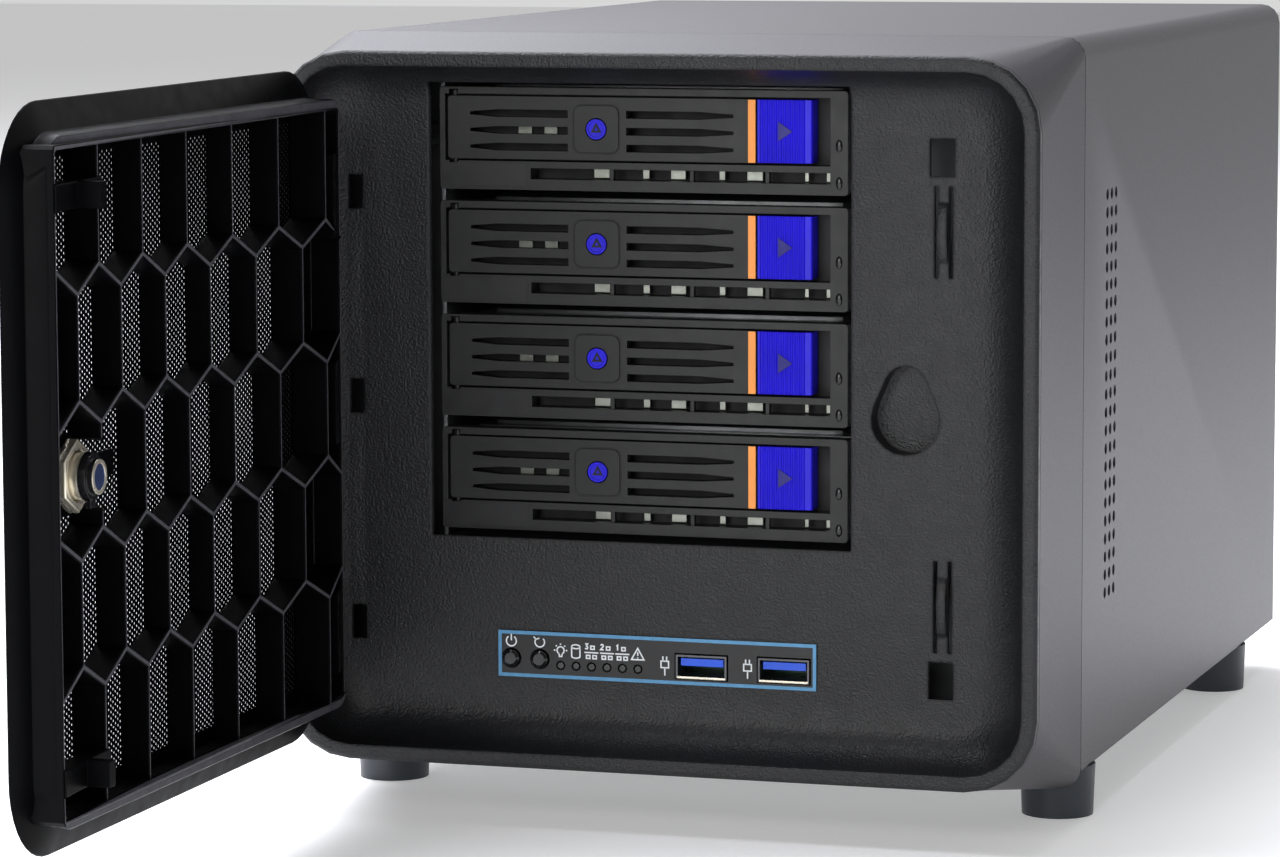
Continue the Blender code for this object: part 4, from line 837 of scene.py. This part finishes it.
def socket_lip_highlights():
    """The bright lower lip of each data socket's shell: a painted highlight."""
    bm = bmesh.new()
    for number in (1, 2):
        low, high = box_corners(f"usb_shell_{number}")
        add_box(
            bm, (low.x + 0.3 * MM, low.y - 0.06 * MM, low.z - 0.04 * MM),
            (high.x - 0.3 * MM, low.y - 0.01 * MM, low.z + 0.5 * MM),
        )
    new_piece("socket_lip_highlights", mesh_from("lips", bm), "nickel", "chassis")


# Cover vents

VENT_COLUMNS = (-104.7, -99.6, -94.5)
VENT_ROWS = 23
VENT_TOP = 145.2
VENT_PITCH = 4.69
VENT_RADIUS = 1.45 * MM
VENT_REACH = 210 * MM


def add_vent_cutter():
    """Round bars through both sides, which the cover is cut with. They are never shown."""
    bm = bmesh.new()
    for y in VENT_COLUMNS:
        for row in range(VENT_ROWS):
            centre = Vector((0.0, y * MM, (VENT_TOP - VENT_PITCH * row) * MM))
            turn = Matrix.Translation(centre) @ Matrix.Rotation(math.pi / 2, 4, "Y")
            bmesh.ops.create_cone(
                bm, cap_ends=True, segments=14, radius1=VENT_RADIUS, radius2=VENT_RADIUS,
                depth=VENT_REACH, matrix=turn,
            )
    cutter = bpy.data.objects.new("vent_cutter", mesh_from("vent_cutter", bm))
    bpy.context.scene.collection.objects.link(cutter)
    cutter.hide_render = True
    cutter.hide_viewport = True
    return cutter


def cut_vents():
    """Three columns of air holes in each side of the cover."""
    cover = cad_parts["outer_cover"]
    weld = cover.modifiers.new("weld", "WELD")
    weld.merge_threshold = WELD_DISTANCE
    cut = cover.modifiers.new("vents", "BOOLEAN")
    cut.operation = "DIFFERENCE"
    cut.solver = "EXACT"
    cut.object = add_vent_cutter()


# Door

DOOR_LOW, DOOR_HIGH = box_corners("door_frame")
SHEET_LOW, SHEET_HIGH = box_corners("door_mesh")
SHEET_SHIFT = 0.8 * MM
SHEET_GAP = 0.2 * MM
SHEET_FRONT_REACH = 0.6 * MM
SHEET_EDGE = 2 * MM
RIB_SHIFT = 3.0 * MM
RIB_BOW = 4.2 * MM
RIB_BACK = (-84.2 * MM, -81.0 * MM)
RIB_TOP = -83.6 * MM
CREST_CHAMFER = 0.3 * MM
SIDE_MARGIN = 7.0 * MM
END_MARGIN = 3.0 * MM
NUT_ROUNDING = 0.4 * MM
PLUG_RING_RADIUS = 4.05 * MM
PLUG_FACE_RADIUS = 3.0 * MM
FLANGE_INSET = 4.0 * MM
FLANGE_X = -88.8 * MM
FLANGE_DROP = 3.4 * MM
HINGE_LIMIT = -178.0 * MM
HINGE_INSET = 1.8
HINGE_CLEARANCE = 5.4 * MM
# The rim's rings in millimetres: how far in from the door's edge, x, and corner radius
RIM_STEPS = (
    (3.9, -92.6, 16.3), (2.4, -92.2, 17.6), (1.0, -91.6, 19.0), (0.0, -91.0, 20.0), (0.2, -90.7, 19.8),
    (0.8, -90.5, 19.2), (6.5, -88.3, 13.4), (6.9, -88.2, 13.0), (7.1, -87.4, 12.4),
    (7.4, -83.0, 8.0), (7.7, -82.6, 7.4), (9.6, -82.6, 6.0),
)


def rib_bow(y):
    """How far the ribs' inner edges reach inwards: most at the door's ends, least at its middle."""
    share = (y - DOOR_LOW.y) / (DOOR_HIGH.y - DOOR_LOW.y)
    return RIB_SHIFT - RIB_BOW * max(0.0, 4.0 * share * (1.0 - share))


def welded_copy(name):
    """A CAD node's mesh with its split corners joined, ready to be shaped further."""
    bm = bmesh.new()
    bm.from_mesh(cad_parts[name].data)
    bmesh.ops.remove_doubles(bm, verts=bm.verts, dist=WELD_DISTANCE)
    return bm


def bowed_door():
    """The door's moulding, with its flange thinned and the inner edges of its ribs bowed."""
    bm = welded_copy("door_frame")
    mark_crests(bm)
    middle_z = (DOOR_LOW.z + DOOR_HIGH.z) / 2
    shrink_y = 1.0 - FLANGE_INSET / (DOOR_HIGH.y - DOOR_LOW.y)
    shrink_z = 1.0 - 2 * FLANGE_INSET / (DOOR_HIGH.z - DOOR_LOW.z)
    for vert in bm.verts:
        place = vert.co
        beside = place.y < SHEET_LOW.y - SHEET_EDGE
        below = place.z < SHEET_LOW.z - SHEET_EDGE
        above = place.z > SHEET_HIGH.z + SHEET_EDGE
        if beside or below or above:
            place.y = DOOR_HIGH.y + (place.y - DOOR_HIGH.y) * shrink_y
            place.z = middle_z + (place.z - middle_z) * shrink_z
            if abs(place.x - FLANGE_X) < 0.05 * MM:
                place.x -= FLANGE_DROP
        elif place.x < SHEET_HIGH.x + SHEET_FRONT_REACH:
            place.x = SHEET_HIGH.x + SHEET_SHIFT + 0.1 * MM
        elif RIB_BACK[0] < place.x < RIB_BACK[1] and place.y < HINGE_LIMIT:
            place.x += rib_bow(place.y)
    new_piece("bowed_door", mesh_from("bowed_door", bm), "door", "door", "door_frame")


def mark_crests(bm):
    """The lighter inner edges of the ribs, a painted highlight: a narrow band between two chamfers."""
    tops = []
    for face in bm.faces:
        if face.normal.x > 0.9 and abs(face.calc_center_median().x - RIB_TOP) < 0.15 * MM:
            tops.append(face)
    edged = bmesh.ops.inset_region(
        bm, faces=tops, thickness=CREST_CHAMFER, depth=CREST_CHAMFER * 0.6, use_even_offset=True,
        use_boundary=True,
    )
    for face in tops:
        face.material_index = 1
    for face in edged["faces"]:
        face.material_index = 0


def door_rim():
    """The rim round the door: a sloping flange up to a ridge, then a wall up to the inner frame."""
    bm = bmesh.new()
    rings = []
    for inset, x, corner in RIM_STEPS:
        low = (DOOR_LOW.y + inset * MM, DOOR_LOW.z + inset * MM)
        high = (DOOR_HIGH.y - min(inset, HINGE_INSET) * MM, DOOR_HIGH.z - inset * MM)
        outline = rounded_points(low, high, corner * MM, 10)
        rings.append([bm.verts.new((x * MM, y, z)) for y, z in outline])
    count = len(rings[0])
    for near, far in zip(rings, rings[1:]):
        for i in range(count):
            j = (i + 1) % count
            corners = (near[i], near[j], far[j], far[i])
            if min(v.co.y for v in corners) < DOOR_HIGH.y - HINGE_CLEARANCE:
                # The faces into the last ring, the inner frame edge, get the lighter finish: a painted
                # highlight.
                bm.faces.new(corners).material_index = int(near is rings[-2])
    new_piece("door_rim", mesh_from("door_rim", bm), "door", "door")


def door_sheet():
    """The perforated sheet, as two faces a hole's depth apart, and its plain edges."""
    middle = (SHEET_LOW.x + SHEET_HIGH.x) / 2 + SHEET_SHIFT
    bm = bmesh.new()
    for x in (middle - SHEET_GAP / 2, middle + SHEET_GAP / 2):
        corners = []
        for y, z in ((SHEET_LOW.y, SHEET_LOW.z), (SHEET_HIGH.y, SHEET_LOW.z),
                     (SHEET_HIGH.y, SHEET_HIGH.z), (SHEET_LOW.y, SHEET_HIGH.z)):
            corners.append(bm.verts.new((x, y, z)))
        bm.faces.new(corners)
    mesh = bpy.data.meshes.new("sheet")
    bm.to_mesh(mesh)
    bm.free()
    new_piece("perforated_sheet", mesh, "perforated", "door", "door_mesh")
    low = (middle - SHEET_GAP, SHEET_LOW.y, SHEET_LOW.z)
    high = (middle + SHEET_GAP, SHEET_HIGH.y, SHEET_HIGH.z)
    bm = bmesh.new()
    start = low[1] + SIDE_MARGIN
    add_box(bm, low, (high[0], start, high[2]))
    add_box(bm, (low[0], start, high[2] - END_MARGIN), high)
    add_box(bm, (low[0], start, low[2]), (high[0], high[1], low[2] + END_MARGIN))
    new_piece("plain_sheet_edges", mesh_from("plain_sheet_edges", bm), "door", "door")


def rounded_nut():
    """The lock's hexagonal nut with its edges and corners rounded off."""
    bm = welded_copy("lock_nut")
    flat = math.radians(2)
    bmesh.ops.dissolve_limit(bm, angle_limit=flat, verts=bm.verts, edges=bm.edges)
    steep = math.radians(40)
    sharp = [e for e in bm.edges if len(e.link_faces) == 2 and e.calc_face_angle(0.0) > steep]
    bmesh.ops.bevel(bm, geom=sharp, offset=NUT_ROUNDING, segments=3, affect="EDGES", profile=0.5)
    new_piece("rounded_nut", mesh_from("rounded_nut", bm), "nickel", "door", "lock_nut")


def lock_end():
    """Bright ring and blued face on the inner end of the key plug."""
    low, high = box_corners("lock_nut")
    centre = (-(low.y + high.y) / 2, (low.z + high.z) / 2)
    tip = box_corners("lock_plug")[1].x
    turn = Matrix.Rotation(math.radians(-90), 3, "Z")
    rim = circle_points(centre, PLUG_RING_RADIUS)
    face = circle_points(centre, PLUG_FACE_RADIUS)
    ring_mesh = bmesh.new()
    add_collar(ring_mesh, rim, face, tip - 0.2 * MM, tip + 0.25 * MM)
    face_mesh = bmesh.new()
    add_prism(face_mesh, face, tip - 0.2 * MM, tip + 0.1 * MM)
    for name, bm, finish in (
        ("lock_end_ring", ring_mesh, "nickel"), ("lock_end_face", face_mesh, "blued"),
    ):
        bmesh.ops.rotate(bm, verts=bm.verts, cent=(0.0, 0.0, 0.0), matrix=turn)
        new_piece(name, mesh_from(name, bm), finish, "door_lock")


# Rear

SOCKET_DEPTH = 12 * MM
# Each opening in millimetres: middle x, middle z, width, height
REAR_OPENINGS = (
    (-54.0, 17.5, 10.0, 8.5), (-32.0, 17.5, 10.0, 8.5), (-2.0, 31.0, 26.0, 5.0), (-2.0, 24.0, 26.0, 5.0),
    (-2.0, 17.0, 26.0, 5.0), (28.0, 17.5, 10.0, 8.5), (52.0, 15.0, 18.0, 5.0),
)


def rear_sockets():
    """Metal-coloured socket ends on the board, each with its opening drawn as a dark patch of painted
    shade.
    """
    end = box_corners("motherboard")[1].y
    mark_plane("board", "Y", end, SOCKET_DEPTH, (0.3, 0.31, 0.33, 1.0))
    bm = bmesh.new()
    # Each opening is a thin near-black box: painted shade.
    for x, z, width, height in REAR_OPENINGS:
        low = ((x - width / 2) * MM, end - 0.1 * MM, (z - height / 2) * MM)
        high = ((x + width / 2) * MM, end + 0.1 * MM, (z + height / 2) * MM)
        add_box(bm, low, high)
    new_piece("rear_socket_opening_shade", mesh_from("rear_socket_opening_shade", bm), "painted_shade", "chassis")


# Studio


def aim(obj, at, target):
    """Places a lamp or camera and turns it towards a point."""
    obj.location = at
    obj.rotation_euler = (Vector(target) - Vector(at)).to_track_quat("-Z", "Y").to_euler()


def add_lamp(name, at, target, size, power, color):
    """A rectangular soft box."""
    data = bpy.data.lights.new(name, "AREA")
    data.shape = "RECTANGLE"
    data.size = size[0]
    data.size_y = size[1]
    data.energy = power
    data.color = color
    lamp = bpy.data.objects.new(name, data)
    bpy.context.scene.collection.objects.link(lamp)
    aim(lamp, at, target)


def add_camera():
    """The camera, a little above the box and to its right."""
    data = bpy.data.cameras.new("camera")
    data.sensor_width = 36.0
    data.lens = CAMERA_LENS
    data.clip_start = 0.05
    camera = bpy.data.objects.new("camera", data)
    bpy.context.scene.collection.objects.link(camera)
    forward = Vector((
        math.sin(CAMERA_YAW) * math.cos(CAMERA_PITCH),
        math.cos(CAMERA_YAW) * math.cos(CAMERA_PITCH),
        math.sin(CAMERA_PITCH),
    ))
    right = Vector((math.cos(CAMERA_YAW), -math.sin(CAMERA_YAW), 0.0))
    up = right.cross(forward)
    turn = Matrix((right, up, -forward)).transposed().to_4x4()
    roll = Matrix.Rotation(CAMERA_ROLL, 4, "Z")
    camera.matrix_world = Matrix.Translation(CAMERA_AT) @ turn @ roll
    bpy.context.scene.camera = camera


def add_floor():
    """A wide pale floor."""
    mesh = bpy.data.meshes.new("floor")
    half = FLOOR_SIZE / 2
    corners = [(x * half, y * half, FLOOR_Z) for x, y in ((-1, -1), (1, -1), (1, 1), (-1, 1))]
    mesh.from_pydata(corners, [], [(0, 1, 2, 3)])
    floor = bpy.data.objects.new("floor", mesh)
    bpy.context.scene.collection.objects.link(floor)
    mat = bpy.data.materials.new("floor")
    mat.use_nodes = True
    shader = mat.node_tree.nodes["Principled BSDF"]
    shader.inputs["Base Color"].default_value = (0.9, 0.9, 0.9, 1.0)
    shader.inputs["Roughness"].default_value = 0.8
    shader.inputs["Emission Color"].default_value = (1.0, 1.0, 1.0, 1.0)
    shader.inputs["Emission Strength"].default_value = FLOOR_GLOW
    mesh.materials.append(mat)


def add_studio():
    """Pale surroundings, brightest beyond the box, with soft boxes above and in front."""
    world = bpy.data.worlds.new("studio")
    world.use_nodes = True
    tree = world.node_tree
    background = tree.nodes["Background"]
    way = add_node(tree, "ShaderNodeTexCoord").outputs["Generated"]
    parts = add_node(tree, "ShaderNodeSeparateXYZ", {0: way})
    glow = remap(tree, parts.outputs["Y"], *WORLD_STRENGTH, *WORLD_SPAN)
    tree.links.new(glow, background.inputs["Strength"])
    background.inputs["Color"].default_value = (1.0, 1.0, 1.0, 1.0)
    bpy.context.scene.world = world
    bpy.context.scene.view_settings.view_transform = "Standard"
    for lamp in LAMPS:
        add_lamp(*lamp)


add_camera()
add_floor()
add_studio()
cut_vents()
dress_frame()
for tray in TRAYS:
    release_button(tray)
    lever_trim(tray)
    lock_dial(tray)
    tray_trim(tray)
control_print()
socket_lip_highlights()
bowed_door()
door_rim()
door_sheet()
rounded_nut()
lock_end()
rear_sockets()
